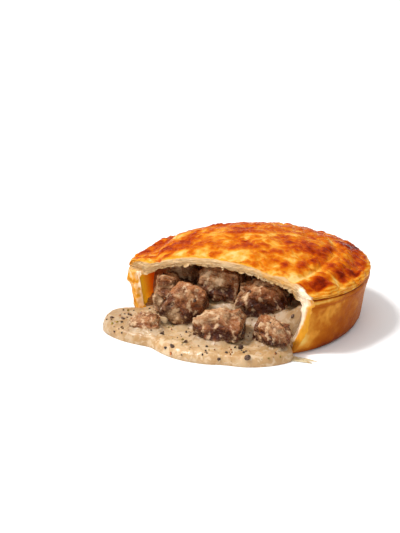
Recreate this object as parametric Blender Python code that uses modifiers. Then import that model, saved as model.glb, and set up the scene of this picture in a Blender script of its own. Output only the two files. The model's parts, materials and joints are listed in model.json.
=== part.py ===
"""A cut pepper steak pie: a round pastry case with a domed puff lid, a slice cut away from its front,
and the filling of beef chunks in creamy pepper sauce running out onto the table.

Metres, +Z up. The origin is the pie's axis on the table. The cut faces -Y.
"""

import math

import bmesh
import bpy
from mathutils import Euler, Matrix, Vector, noise

# Case: a tapered cup of pastry with a thick lip at its top
BASE_RADIUS = 0.0503
WALL_TOP_RADIUS = 0.0534
WALL_TOP = 0.0200
WALL_THICKNESS = 0.0042
FLOOR_THICKNESS = 0.0040
BASE_ROUNDING = 0.0026
INNER_ROUNDING = 0.0040
RIM_RADIUS = 0.0545
LIP_TOP = 0.0230

# Lid: a dome of puff pastry that rounds down to a flaky edge on the lip
LID_THICKNESS = 0.0041
DOME_TOP = 0.0385
DOME_CURVE = 4.5
DOME_LEAN = 0.0027
DOME_LEAN_FRONT = 0.12
DOME_RADIUS = 0.0470
LID_EDGE_RADIUS = 0.0548
LAYER = 0.0006
PLUG_RADIUS = 0.0483
PLUG_DEPTH = 0.0018
CREASE_DEPTH = 0.0008
CREASE_WIDTH = 0.0022
CREASE_RADIUS = 0.0385
CREASE_OUT_BY_CUT = 0.0070
CREASE_OUT_LEFT = 0.0045

# The rim rises by the cut's +X end and sinks by its -X end, where the lip hangs lower, and at the back
RIGHT_END = -36
LEFT_END = -150
RISE = 0.0016
SINK = 0.0020
LIP_HANG = 0.0028
BACK_SINK = 0.0009
BACK_LEFT_SINK = 0.0022
BACK_RIGHT_SINK = 0.0010
WALL_SPREAD = 0.0009
FOOT_SPREAD = 0.0022
LEFT_FOOT_SPREAD = 0.0009

# Relief of the baked surfaces: depth, width of its lumps, and seed
WALL_LUMPS = (0.00055, 0.017, 0.0)
WALL_PIMPLES = (0.00025, 0.006, 3.0)
LIP_FRILL = (0.0005, 0.009, 5.0)
LIP_DROOP = (0.0004, 0.012, 8.0)
LID_SWELLS = (0.0008, 0.013, 0.0)
LID_BLISTERS = (0.0004, 0.0065, 2.0)
LID_UNDERSIDE = (0.0005, 0.008, 9.0)
LID_CRIMP = (0.0008, 0.0085, 7.0)
LID_FRAY = (0.0005, 0.006, 4.0)

# Cut: a ragged knife face in front of the axis, whose foot steps forward at the +X end
CUT_Y = -0.0277
CUT_RAGGED = (0.0008, 0.008, 1.0)
FLAKE_STEP = 0.00035
FLAKE_PITCH = 0.00065
PLAIN_ROWS = (-0.0040, 0.0010, 0.0050, 0.0090, 0.0130, 0.0165)
LAYER_ROWS = 16
KNIFE_TOP = 0.050
KNIFE_REACH = 0.060
KNIFE_COLUMNS = 46
FOOT_STEP = 0.0061
FOOT_STEP_TOP = 0.0190

# Sauce: a pool in front, a heap behind the cut, and the level of the uncut filling at the back
POOL_POLE = Vector((0.0, -0.0400))
POOL_DEPTH = 0.0042
POOL_EDGE_WIDTH = 0.0042
HEAP_LEVEL = 0.0132
BACK_LEVEL = 0.0180
HEAP_WIDTH = 0.0260
HIGHEST_SAUCE = 0.0204
BACK_START_Y = -0.0140
BACK_Y = -0.0020
FRONT_Y = -0.0440
LEFT_FRONT_Y = -0.0240
CLING_HEIGHT = 0.0112
CLING_WIDTH = 0.0060
SAUCE_RIPPLE = (0.0005, 0.009, 6.0)
# The pool's outline about POOL_POLE: angle in degrees and reach in metres
POOL_EDGE = (
    (163, 0.0425),
    (170, 0.0497),
    (177, 0.0521),
    (187, 0.0500),
    (197, 0.0460),
    (206, 0.0395),
    (216, 0.0315),
    (225, 0.0257),
    (238, 0.0236),
    (266, 0.0236),
    (290, 0.0249),
    (306, 0.0267),
    (319, 0.0287),
    (332, 0.0345),
    (346, 0.0402),
    (357, 0.0437),
    (362, 0.0440),
    (366, 0.0428),
    (369, 0.0408),
    (373, 0.0392),
)

GAP = 0.0004  # between pieces that touch
SEGMENTS = 68  # round the pie
SAUCE_SPOKES = 64
SAUCE_RINGS = (0.14, 0.28, 0.42, 0.56, 0.70, 0.85, 1.0)

# Beef: name, centre, size, turn in degrees, the width of its top as a share, and the seed of its surface
BEEF = (
    ("beef_middle_front", (0.0098, -0.0427, 0.0102), (0.0235, 0.0155, 0.0140), (-6, -10, 14), 0.90, 13),
    ("beef_left_front", (-0.0130, -0.0345, 0.0149), (0.0205, 0.0155, 0.0195), (6, 14, 20), 0.62, 12),
    ("beef_right_front", (0.0325, -0.0368, 0.0096), (0.0180, 0.0130, 0.0130), (4, 8, -12), 0.75, 14),
    ("beef_spilled", (-0.0268, -0.0468, 0.0068), (0.0155, 0.0125, 0.0100), (8, -6, 25), 0.80, 11),
    ("beef_right_back", (0.0188, -0.0218, 0.0190), (0.0255, 0.0160, 0.0158), (8, -14, 18), 0.80, 18),
    ("beef_middle_back", (-0.0044, -0.0190, 0.0200), (0.0190, 0.0140, 0.0155), (-8, 6, 16), 1.10, 17),
    ("beef_left", (-0.0277, -0.0258, 0.0132), (0.0125, 0.0130, 0.0160), (0, 8, 30), 0.85, 15),
    ("beef_left_back", (-0.0278, -0.0120, 0.0185), (0.0160, 0.0125, 0.0130), (10, -8, 10), 0.90, 16),
    ("beef_deep", (0.0065, -0.0030, 0.0178), (0.0150, 0.0130, 0.0130), (12, 8, 40), 0.85, 19),
)
BEEF_CUTS = 4
BEEF_ROUNDING = 0.50
BEEF_LUMPS = (0.0021, 0.012)
BEEF_CRAGS = (0.0008, 0.0042)

# Cracked peppercorns fused to the sauce: x, y and diameter
PEPPER = (
    (-0.0410, -0.0420, 0.0028),
    (-0.0440, -0.0470, 0.0026),
    (-0.0150, -0.0505, 0.0026),
    (-0.0065, -0.0560, 0.0032),
    (0.0005, -0.0530, 0.0027),
    (0.0265, -0.0490, 0.0032),
    (0.0290, -0.0535, 0.0034),
    (0.0150, -0.0570, 0.0022),
    (-0.0330, -0.0550, 0.0020),
)
PEPPER_SUNK = 0.30


def clear_scene():
    for obj in list(bpy.data.objects):
        bpy.data.objects.remove(obj)


def new_collection(name):
    made = bpy.data.collections.new(name)
    bpy.context.scene.collection.children.link(made)
    return made


def new_material(name, colour, roughness):
    made = bpy.data.materials.new(name)
    made.use_nodes = True
    shader = made.node_tree.nodes["Principled BSDF"]
    shader.inputs["Base Color"].default_value = (*colour, 1.0)
    shader.inputs["Roughness"].default_value = roughness
    shader.inputs["Metallic"].default_value = 0.0
    return made


def new_object(name, mesh, collection, material=None):
    made = bpy.data.objects.new(name, mesh)
    collection.objects.link(made)
    if material:
        made.data.materials.clear()
        made.data.materials.append(material)
    return made


def helper(name, mesh, collection, place=None):
    """An object that shapes others and is never drawn itself."""
    made = new_object(name, mesh, collection)
    made.hide_render = True
    made.display_type = "WIRE"
    if place:
        made.matrix_world = place
    return made


def mesh_from(bm, name):
    """The bmesh as a mesh, with its faces turned outwards."""
    bmesh.ops.recalc_face_normals(bm, faces=bm.faces)
    mesh = bpy.data.meshes.new(name)
    bm.to_mesh(mesh)
    bm.free()
    return mesh


def shade(obj, angle=40):
    obj.data.shade_smooth()
    obj.data.set_sharp_from_angle(angle=math.radians(angle))


def smooth(low, high, value):
    """0 below low, 1 above high, and an easy curve between them."""
    t = min(1.0, max(0.0, (value - low) / (high - low)))
    return t * t * (3 - 2 * t)


def grain(point, size, seed=0.0):
    """Smooth noise from -1 to 1 whose lumps are about size across."""
    return noise.noise(Vector(point) / size + Vector((seed, -seed, 0.5 * seed)))


def relief_at(kind, point):
    """How far a kind of relief, given by its depth, its lumps' width and its seed, stands out somewhere."""
    depth, width, seed = kind
    return depth * grain(point, width, seed)


def along_rim(angle, height=0.0):
    """A place on the rim, laid out flat, so that relief runs along it."""
    return (math.radians(angle) * RIM_RADIUS, 0.0, height)


def arc(centre, radius, start, end, count):
    """Points along an arc in the (r, z) plane, with angles in degrees from +r towards +z."""
    angles = [math.radians(start + (end - start) * i / count) for i in range(count + 1)]
    return [(centre[0] + radius * math.cos(a), centre[1] + radius * math.sin(a)) for a in angles]


def bump(angle, middle, width):
    """1 at an angle, falling to 0 within about twice the width, all in degrees."""
    away = (angle - middle + 180) % 360 - 180
    return math.exp(-((away / width) ** 2))


def angle_of(point):
    return math.degrees(math.atan2(point.y, point.x))


def outward(point):
    """The level direction away from the pie's axis."""
    flat = Vector((point.x, point.y, 0.0))
    return flat.normalized() if flat.length > 1e-6 else Vector()


def wall_radius(z):
    return BASE_RADIUS + (WALL_TOP_RADIUS - BASE_RADIUS) * min(1.0, z / WALL_TOP)


def dome_height(r):
    return DOME_TOP - DOME_CURVE * r * r


def dome_lean(point):
    """How much higher the dome stands at a place because its top lies towards +X."""
    shift = DOME_LEAN - DOME_LEAN_FRONT * min(0.0, point.y)
    fade = 1 - smooth(0.044, 0.054, math.hypot(point.x, point.y))
    return DOME_CURVE * shift * (2 * point.x - shift) * fade


def ends_spread(angle):
    """How far the wall stands further out by its two cut ends."""
    return WALL_SPREAD * (bump(angle, RIGHT_END, 20) + bump(angle, LEFT_END, 26))


def rim_lift(point):
    """The rise and sinking of the rim, growing from nothing at the table and fading towards the dome."""
    angle = angle_of(point)
    lift = RISE * bump(angle, RIGHT_END, 18) - SINK * bump(angle, LEFT_END, 25)
    lift -= BACK_SINK * smooth(0.0, 0.7, math.cos(math.radians(angle - 115)))
    lift -= BACK_LEFT_SINK * bump(angle, 166, 26) + BACK_RIGHT_SINK * bump(angle, 50, 16)
    r = math.hypot(point.x, point.y)
    above = smooth(LIP_TOP + 0.0005, LIP_TOP + 0.0040, point.z)
    return lift * smooth(0.036, 0.049, r) * min(1.0, point.z / LIP_TOP) * (1 - 0.6 * above)


def case_profile():
    """(r, z) of the cup, from the middle of its floor up the inside, over the lip and down the outside."""
    inner_foot = wall_radius(FLOOR_THICKNESS) - WALL_THICKNESS - INNER_ROUNDING
    inside = [(0.0, FLOOR_THICKNESS), (0.6 * inner_foot, FLOOR_THICKNESS)]
    inside += arc((inner_foot, FLOOR_THICKNESS + INNER_ROUNDING), INNER_ROUNDING, -90, -5, 3)
    inside += [(wall_radius(z) - WALL_THICKNESS, z) for z in (0.0125, 0.0170, 0.0215)]
    lip = [(wall_radius(LIP_TOP) - WALL_THICKNESS, LIP_TOP)]
    lip += [(RIM_RADIUS - 0.0006, LIP_TOP), (RIM_RADIUS, LIP_TOP - 0.0008)]
    lip += [(RIM_RADIUS, WALL_TOP + 0.0009), (WALL_TOP_RADIUS + 0.0003, WALL_TOP)]
    outside = [(wall_radius(z), z) for z in (0.0186, 0.0150, 0.0110, 0.0070)]
    foot = arc((BASE_RADIUS - BASE_ROUNDING, BASE_ROUNDING), BASE_ROUNDING, 0, -90, 3)
    return inside + lip + outside + foot + [(0.0, 0.0)]


def lid_profile():
    """(r, z) of the lid, from the top of the dome, down its flaky edge and back underneath."""
    steps = 7
    top = [(r, dome_height(r)) for r in (DOME_RADIUS * i / steps for i in range(steps + 1))]
    seam = LIP_TOP + GAP
    top += [(0.0497, 0.0271), (0.0520, 0.0262)]
    layers = [(0.0537, seam + 5 * LAYER - 0.0005), (LID_EDGE_RADIUS - 0.0004, seam + 3.4 * LAYER)]
    layers += [(LID_EDGE_RADIUS, seam + 2.4 * LAYER), (LID_EDGE_RADIUS - 0.0004, seam + 1.5 * LAYER)]
    layers += [(LID_EDGE_RADIUS - 0.0001, seam + 0.7 * LAYER), (LID_EDGE_RADIUS - 0.0005, seam)]
    plug = [(PLUG_RADIUS + 0.0005, seam), (PLUG_RADIUS, seam - PLUG_DEPTH)]
    plug += [(PLUG_RADIUS - 0.0020, seam - PLUG_DEPTH + 0.0002)]
    inner = (0.0440, 0.0395, 0.0330, 0.0250, 0.0160, 0.0070, 0.0)
    under = [(r, dome_height(r) - LID_THICKNESS) for r in inner]
    return top + layers + plug + under


def turned(name, profile, relief):
    """A profile turned round +Z by a Screw modifier, with every point then moved by relief(point, normal)."""
    mesh = bpy.data.meshes.new(name)
    points = [(r, 0.0, z) for r, z in profile]
    mesh.from_pydata(points, [(i, i + 1) for i in range(len(points) - 1)], [])
    guide = bpy.data.objects.new(name + "_profile", mesh)
    bpy.context.scene.collection.objects.link(guide)
    screw = guide.modifiers.new("turn", "SCREW")
    screw.steps = screw.render_steps = SEGMENTS
    screw.use_merge_vertices = True
    screw.merge_threshold = 0.00005
    graph = bpy.context.evaluated_depsgraph_get()
    bm = bmesh.new()
    bm.from_object(guide, graph)
    bpy.data.objects.remove(guide)
    bmesh.ops.remove_doubles(bm, verts=bm.verts, dist=0.00005)
    bmesh.ops.recalc_face_normals(bm, faces=bm.faces)
    bm.normal_update()
    moved = [relief(v.co.copy(), v.normal.copy()) for v in bm.verts]
    for vertex, place in zip(bm.verts, moved):
        vertex.co = place
    return mesh_from(bm, name)


def case_relief(point, normal, grow=0.0):
    """Uneven baked walls that spread by the cut. The floor's underside and the seam stay true."""
    r = math.hypot(point.x, point.y)
    angle = angle_of(point)
    seam = smooth(LIP_TOP - 0.0012, LIP_TOP - 0.0002, point.z)
    free = smooth(0.0, 0.004, point.z) * (1 - seam)
    outer = smooth(-0.2, 0.4, normal.dot(outward(point)))
    lumps = relief_at(WALL_LUMPS, point) + relief_at(WALL_PIMPLES, point)
    made = point + normal * (lumps * free * (0.4 + 0.6 * outer) + grow)
    spread = FOOT_SPREAD * bump(angle, RIGHT_END, 26) + LEFT_FOOT_SPREAD * bump(angle, LEFT_END, 26)
    low = 1 - smooth(0.0, WALL_TOP, point.z)
    made += outward(point) * (spread * low + ends_spread(angle)) * smooth(0.030, 0.046, r)
    on_lip = smooth(WALL_TOP_RADIUS - 0.0002, RIM_RADIUS - 0.0006, r)
    made += outward(point) * relief_at(LIP_FRILL, along_rim(angle)) * on_lip
    hang = LIP_HANG * bump(angle, LEFT_END, 25) + relief_at(LIP_DROOP, along_rim(angle))
    made.z -= hang * smooth(WALL_TOP - 0.006, WALL_TOP, point.z) * (1 - seam) * outer
    made.z += rim_lift(point)
    return made


def crease_radius(angle):
    """Where the lid folds between dome and rim: closer in at the back right, close to the edge at the cut."""
    by_cut = CREASE_OUT_BY_CUT * bump(angle, -45, 32)
    return CREASE_RADIUS + by_cut + CREASE_OUT_LEFT * bump(angle, 180, 80)


def lid_relief(point, normal):
    """Blisters on the dome, a fold, a lumpy rim and loose layers at the edge. The seam stays true."""
    r = math.hypot(point.x, point.y)
    angle = angle_of(point)
    seam = LIP_TOP + GAP
    top = smooth(0.15, 0.6, normal.z)
    above = smooth(seam + 0.0003, seam + 0.0022, point.z)
    blisters = relief_at(LID_SWELLS, point) + relief_at(LID_BLISTERS, point)
    crimp = relief_at(LID_CRIMP, along_rim(angle))
    crease = math.exp(-(((r - crease_radius(angle)) / CREASE_WIDTH) ** 2))
    under = relief_at(LID_UNDERSIDE, point) * smooth(0.2, 0.7, -normal.z) * (r < PLUG_RADIUS - 0.003)
    made = point + normal * ((blisters - CREASE_DEPTH * crease) * top + under)
    made.z += crimp * above * smooth(0.043, 0.049, r)
    edge = above * smooth(0.0505, 0.0535, r)
    made += outward(point) * relief_at(LID_FRAY, along_rim(angle, 3 * point.z)) * edge
    plug = smooth(0.0440, 0.0465, r) * (1 - smooth(seam - 0.0008, seam - 0.0002, point.z))
    made += outward(point) * ends_spread(angle) * plug
    made.z += rim_lift(point) + dome_lean(point) * above
    return made


def cut_depth(x, z):
    """The y of the cut face at a place on it: ragged, with a foot that steps forward at +X."""
    ragged = relief_at(CUT_RAGGED, (x, 0.0, 0.5 * z))
    low = min(1.0, max(0.0, 1 - z / FOOT_STEP_TOP)) ** 1.6
    return CUT_Y + ragged - FOOT_STEP * low * smooth(0.033, 0.040, x)


def cut_rows(x):
    """(z, step) up the cut at x: plain rows, then rows along the lid's curve that step in and out in turn."""
    rows = [(z, 0.0) for z in PLAIN_ROWS]
    curve = dome_height(min(math.hypot(x, CUT_Y), DOME_RADIUS)) + dome_lean(Vector((x, CUT_Y, 0.0)))
    for layer in range(LAYER_ROWS):
        side = 1 if layer % 2 else -1
        step = side * FLAKE_STEP * (0.6 + 0.8 * grain((x, layer, 0.0), 0.01))
        rows.append((curve - 0.0066 + layer * FLAKE_PITCH, step))
    return [*rows, (KNIFE_TOP, 0.0)]


def knife(name, collection, forward=0.0):
    """A block in front of the pie whose back face is the cut. forward moves that face away from the pie."""
    row_count = len(cut_rows(0.0))
    bm = bmesh.new()
    bmesh.ops.create_grid(bm, x_segments=KNIFE_COLUMNS, y_segments=row_count - 1, size=1.0)
    for vertex in bm.verts:
        x = vertex.co.x * KNIFE_REACH
        z, step = cut_rows(x)[round((vertex.co.y + 1) / 2 * (row_count - 1))]
        vertex.co = Vector((x, cut_depth(x, z) - forward + step, z))
    block = bmesh.ops.extrude_face_region(bm, geom=list(bm.faces))
    for vertex in [g for g in block["geom"] if isinstance(g, bmesh.types.BMVert)]:
        vertex.co.y = -0.075
    return helper(name, mesh_from(bm, name), collection)


def subtract(obj, cutter):
    made = obj.modifiers.new("cut_" + cutter.name, "BOOLEAN")
    made.operation = "DIFFERENCE"
    made.object = cutter
    made.solver = "EXACT"


def pool_reach(angle):
    """The pool's reach from POOL_POLE at an angle in degrees, on a smooth curve through POOL_EDGE."""
    if angle < POOL_EDGE[0][0]:
        angle += 360
    for i in range(len(POOL_EDGE) - 1):
        (a1, r1), (a2, r2) = POOL_EDGE[i], POOL_EDGE[i + 1]
        if a1 <= angle <= a2:
            a0, r0 = POOL_EDGE[max(0, i - 1)]
            a3, r3 = POOL_EDGE[min(len(POOL_EDGE) - 1, i + 2)]
            width = a2 - a1
            t = (angle - a1) / width
            rise1 = width * (r2 - r0) / (a2 - a0)
            rise2 = width * (r3 - r1) / (a3 - a1)
            ends = (1 + 2 * t) * (1 - t) ** 2 * r1 + (3 - 2 * t) * t * t * r2
            return ends + t * (1 - t) ** 2 * rise1 - t * t * (1 - t) * rise2
    return None


def case_reach(angle, radius):
    """How far the circle of that radius about the pie's axis lies from POOL_POLE at an angle."""
    along = Vector((math.cos(math.radians(angle)), math.sin(math.radians(angle))))
    b = POOL_POLE.dot(along)
    return -b + math.sqrt(b * b - POOL_POLE.length_squared + radius * radius)


def sauce_level(x, y):
    """The height of the sauce's top: a pool in front, a heap behind the cut, the uncut level at the back."""
    left = smooth(0.3, 1.0, -x / 0.041)
    front = FRONT_Y + (LEFT_FRONT_Y - FRONT_Y) * left
    level = POOL_DEPTH + (HEAP_LEVEL - POOL_DEPTH) * smooth(front, front + HEAP_WIDTH, y)
    back = smooth(BACK_START_Y, BACK_Y, y)
    level += (BACK_LEVEL - level) * back
    wall_gap = max(0.0, wall_radius(0.01) - WALL_THICKNESS - math.hypot(x, y))
    by_right_wall = smooth(0.010, 0.036, x) * smooth(-0.033, -0.024, y)
    cling = CLING_HEIGHT * math.exp(-wall_gap / CLING_WIDTH) * by_right_wall
    level += cling * (1 - back) + relief_at(SAUCE_RIPPLE, (x, y, 0.0))
    return min(level, HIGHEST_SAUCE)


def sauce_spoke(bm, angle):
    """The points of the sauce along one direction from POOL_POLE, from the middle to the edge and its foot.

    Where the spoke ends in the pool its edge rounds down to the table; inside the case it runs into the wall.
    """
    along = Vector((math.cos(math.radians(angle)), math.sin(math.radians(angle))))
    reach = pool_reach(angle)
    outside = reach is not None
    if not outside:
        reach = case_reach(angle, wall_radius(0.012) - 0.5 * WALL_THICKNESS)
    places = [POOL_POLE + along * (reach - POOL_EDGE_WIDTH) * share for share in SAUCE_RINGS]
    spoke = [bm.verts.new((*place, sauce_level(*place))) for place in places]
    for away in (0.62, 0.30, 0.08, 0.0):
        place = POOL_POLE + along * (reach - POOL_EDGE_WIDTH * away)
        height = sauce_level(*place)
        if outside:
            height = max(0.0004, min(height, POOL_DEPTH + 0.002) * math.sqrt(1 - (1 - away) ** 2.2))
        spoke.append(bm.verts.new((*place, height)))
    foot = POOL_POLE + along * (reach - (0.0001 if outside else 0.0016))
    return [*spoke, bm.verts.new((*foot, 0.0))]


def sauce_blank(name, collection, material):
    """A disc of spokes whose top follows the sauce level."""
    bm = bmesh.new()
    centre = bm.verts.new((*POOL_POLE, sauce_level(*POOL_POLE)))
    floor_centre = bm.verts.new((*POOL_POLE, 0.0))
    spokes = [sauce_spoke(bm, 360.0 * i / SAUCE_SPOKES) for i in range(SAUCE_SPOKES)]
    for i, spoke in enumerate(spokes):
        after = spokes[(i + 1) % SAUCE_SPOKES]
        bm.faces.new((centre, spoke[0], after[0]))
        for j in range(len(spoke) - 1):
            bm.faces.new((spoke[j], spoke[j + 1], after[j + 1], after[j]))
        bm.faces.new((floor_centre, after[-1], spoke[-1]))
    return new_object(name, mesh_from(bm, name), collection, material)


def beef_mesh(name, size, top_width, seed, grow=0.0):
    """A cube of braised beef about its own centre: rounded, narrower or wider at its top, lumpy, cragged."""
    bm = bmesh.new()
    bmesh.ops.create_cube(bm, size=2.0)
    bmesh.ops.subdivide_edges(bm, edges=bm.edges, cuts=BEEF_CUTS, use_grid_fill=True)
    bmesh.ops.triangulate(bm, faces=bm.faces, quad_method="FIXED")
    half = Vector(size) / 2
    for vertex in bm.verts:
        cube = vertex.co.copy()
        ball = cube.normalized() * 1.15
        soft = cube.lerp(ball, BEEF_ROUNDING) / (1 + 0.15 * BEEF_ROUNDING)
        wide = 1 + (top_width - 1) * (soft.z + 1) / 2
        place = Vector((soft.x * half.x * wide, soft.y * half.y * wide, soft.z * half.z))
        away = Vector((ball.x / half.x, ball.y / half.y, ball.z / half.z)).normalized()
        lumps = relief_at((*BEEF_LUMPS, seed), place) + relief_at((*BEEF_CRAGS, seed + 3.0), place)
        vertex.co = place + away * lumps
    bm.normal_update()
    for vertex in bm.verts:
        vertex.co += vertex.normal * grow
    return mesh_from(bm, name)


def fuse_pepper(sauce, cutters):
    """Joins the cracked peppercorns to the sauce by one union, then drops the loose ones."""
    group = bpy.data.collections.new("pepper")
    cutters.children.link(group)
    for i, (x, y, diameter) in enumerate(PEPPER):
        bm = bmesh.new()
        bmesh.ops.create_icosphere(bm, subdivisions=1, radius=diameter / 2)
        lift = sauce_level(x, y) + diameter * (0.5 - PEPPER_SUNK)
        turn = Euler((0.9 * i, 1.7 * i, 0.0)).to_matrix().to_4x4()
        bmesh.ops.transform(bm, matrix=Matrix.Translation((x, y, lift)) @ turn, verts=bm.verts)
        new_object(f"pepper_{i:02d}", mesh_from(bm, f"pepper_{i:02d}"), group)
    join = sauce.modifiers.new("fuse_pepper", "BOOLEAN")
    join.operation = "UNION"
    join.operand_type = "COLLECTION"
    join.collection = group
    join.solver = "EXACT"
    freeze(sauce)
    for obj in list(group.objects):
        bpy.data.objects.remove(obj)
    bpy.data.collections.remove(group)


def freeze(obj):
    """Applies the object's modifiers to its mesh."""
    graph = bpy.context.evaluated_depsgraph_get()
    mesh = bpy.data.meshes.new_from_object(obj.evaluated_get(graph))
    obj.modifiers.clear()
    obj.data = mesh


def near(a, b):
    """Whether the boxes round two placed meshes come within a gap of each other."""
    for axis in range(3):
        ends_a = [(a.matrix_world @ Vector(c))[axis] for c in a.bound_box]
        ends_b = [(b.matrix_world @ Vector(c))[axis] for c in b.bound_box]
        if min(ends_a) - GAP > max(ends_b) or min(ends_b) - GAP > max(ends_a):
            return False
    return True


def add_beef(collection, cutters, material):
    """The chunks, each hollowed a little where the one before it presses in. Returns the room each takes."""
    rooms = []
    for name, centre, size, turn, top_width, seed in BEEF:
        place = Matrix.Translation(centre) @ Euler([math.radians(a) for a in turn]).to_matrix().to_4x4()
        chunk = new_object(name, beef_mesh(name, size, top_width, seed), collection, material)
        chunk.matrix_world = place
        for other in rooms:
            if near(chunk, other):
                subtract(chunk, other)
        shade(chunk, 60)
        room = beef_mesh(name + "_room", size, top_width, seed, GAP)
        rooms.append(helper(name + "_room", room, cutters, place))
    return rooms


def main():
    clear_scene()
    pie = new_collection("pepper_steak_pie")
    cutters = new_collection("cutters")
    baked = new_material("baked_case", (0.62, 0.30, 0.09), 0.55)
    glazed = new_material("glazed_lid", (0.66, 0.27, 0.06), 0.38)
    creamy = new_material("pepper_sauce", (0.62, 0.45, 0.27), 0.22)
    braised = new_material("braised_beef", (0.20, 0.10, 0.06), 0.40)

    cut = knife("knife", cutters)
    case = new_object("pastry_case", turned("pastry_case", case_profile(), case_relief), pie, baked)
    subtract(case, cut)
    shade(case)
    lid = new_object("pastry_lid", turned("pastry_lid", lid_profile(), lid_relief), pie, glazed)
    subtract(lid, cut)
    shade(lid)

    grown = turned("case_room", case_profile(), lambda point, normal: case_relief(point, normal, GAP))
    case_room = helper("case_room", grown, cutters)
    subtract(case_room, knife("knife_with_gap", cutters, GAP))
    sauce = sauce_blank("pepper_sauce", pie, creamy)
    for room in add_beef(pie, cutters, braised):
        subtract(sauce, room)
    subtract(sauce, case_room)
    fuse_pepper(sauce, cutters)
    shade(sauce)


main()
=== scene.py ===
"""A cut pepper steak pie: a round pastry case and a domed puff lid cut open in front, and a filling of beef
chunks in creamy pepper sauce that runs out onto the table.

Metres, +Z up. The pie's axis is the Z axis and its cut faces -Y.
"""

import json
import math
import random

import bmesh
import bpy
from bpy.props import FloatProperty, FloatVectorProperty, IntProperty, PointerProperty
from bpy.types import Operator, Panel, PropertyGroup
from mathutils import Euler, Matrix, Vector, kdtree, noise
from mathutils.bvhtree import BVHTree

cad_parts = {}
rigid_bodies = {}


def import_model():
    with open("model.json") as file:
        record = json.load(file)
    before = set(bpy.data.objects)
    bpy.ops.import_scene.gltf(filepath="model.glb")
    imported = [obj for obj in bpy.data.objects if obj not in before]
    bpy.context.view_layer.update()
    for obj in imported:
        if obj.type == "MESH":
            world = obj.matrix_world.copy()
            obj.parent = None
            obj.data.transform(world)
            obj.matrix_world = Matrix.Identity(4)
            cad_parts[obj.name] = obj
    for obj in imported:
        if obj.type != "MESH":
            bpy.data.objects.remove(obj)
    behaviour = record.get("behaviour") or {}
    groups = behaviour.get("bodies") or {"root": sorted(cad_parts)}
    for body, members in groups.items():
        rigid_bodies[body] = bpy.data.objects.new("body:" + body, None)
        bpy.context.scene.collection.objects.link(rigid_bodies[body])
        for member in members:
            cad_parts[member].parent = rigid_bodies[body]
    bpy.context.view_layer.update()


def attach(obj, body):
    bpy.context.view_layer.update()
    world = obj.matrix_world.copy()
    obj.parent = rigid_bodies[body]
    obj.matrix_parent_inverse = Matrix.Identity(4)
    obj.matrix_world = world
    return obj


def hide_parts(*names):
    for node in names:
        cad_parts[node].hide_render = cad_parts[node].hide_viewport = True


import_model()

bl_info = {
    "name": "Cut Pepper Steak Pie",
    "version": (1, 0, 0),
    "blender": (4, 5, 0),
    "location": "3D View > Sidebar > Pie",
    "description": "Crust, filling, pepper and studio of a pepper steak pie that has been cut open",
    "category": "Object",
}

# Camera: the photograph's frame and where it is taken from
IMAGE_HEIGHT = 533
SENSOR = 36.0
FOCAL_PIXELS = 2051
CAMERA_AZIMUTH = math.radians(31.2)
CAMERA_ELEVATION = math.radians(19.9)
CAMERA_DISTANCE = 1.0
CAMERA_TARGET = Vector((-0.0521, 0.0426, 0.0))

# Stage: each lamp's place and how far it spreads, in degrees for the suns and the snoot
KEY_PLACE = (-0.50, -0.28, 0.95)
KEY_SPREAD = 12.0
FILL_PLACE = (0.45, -0.85, 0.50)
FILL_SPREAD = 40.0
SPARK_PLACE = (-0.26, -0.22, 0.55)
SPARK_SIZE = 0.20
SNOOT_PLACE = (0.43, -0.07, 0.37)
SNOOT_AIM = (-0.0470, -0.0150, 0.0120)
SNOOT_SPREAD = 3.2
SNOOT_SIZE = 0.004
FLOOR_REACH = 4.0
FLOOR_BELOW = 0.0001

# Case: a tapered cup of pastry with a thick lip at its top
BASE_RADIUS = 0.0503
WALL_TOP_RADIUS = 0.0534
WALL_TOP = 0.0200
WALL_THICKNESS = 0.0042
FLOOR_THICKNESS = 0.0040
BASE_ROUNDING = 0.0026
INNER_ROUNDING = 0.0040
RIM_RADIUS = 0.0545
LIP_TOP = 0.0230
SEAM_TOP = 0.0235
# (r, z) of the lip, from the seam under the lid over its edge and down to the wall
LIP_OUTLINE = (
    (RIM_RADIUS - 0.0009, SEAM_TOP),
    (RIM_RADIUS - 0.0002, LIP_TOP),
    (RIM_RADIUS, LIP_TOP - 0.0009),
    (RIM_RADIUS, WALL_TOP + 0.0011),
    (RIM_RADIUS - 0.0003, WALL_TOP + 0.0004),
    (WALL_TOP_RADIUS + 0.0003, WALL_TOP),
)

# Lid: a dome of puff pastry that rounds down to a flaky edge on the lip
LID_THICKNESS = 0.0041
DOME_TOP = 0.0385
DOME_CURVE = 4.5
DOME_LEAN = 0.0027
DOME_LEAN_FRONT = 0.12
DOME_RADIUS = 0.0470
LID_EDGE_RADIUS = 0.0548
LAYER = 0.0006
PLUG_RADIUS = 0.0483
PLUG_DEPTH = 0.0018
CREASE_DEPTH = 0.0008
CREASE_WIDTH = 0.0019
RIM_BULGE = 0.0008
RIM_BULGE_WIDTH = 0.0030
RIM_BULGE_OUT = 0.0052
CREASE_RADIUS = 0.0385
CREASE_OUT_BY_CUT = 0.0070
CREASE_OUT_LEFT = 0.0045
RIM_SAG = 0.0013
RIM_SAG_BY_END = 0.0014
LEFT_FILL = 0.0018
LEFT_FILL_X = -0.0400
LEFT_FILL_WIDTH = 0.0055
LEFT_FILL_DEPTH = 0.0090
GAP = 0.0004
LID_SEAM = LIP_TOP + GAP
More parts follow.
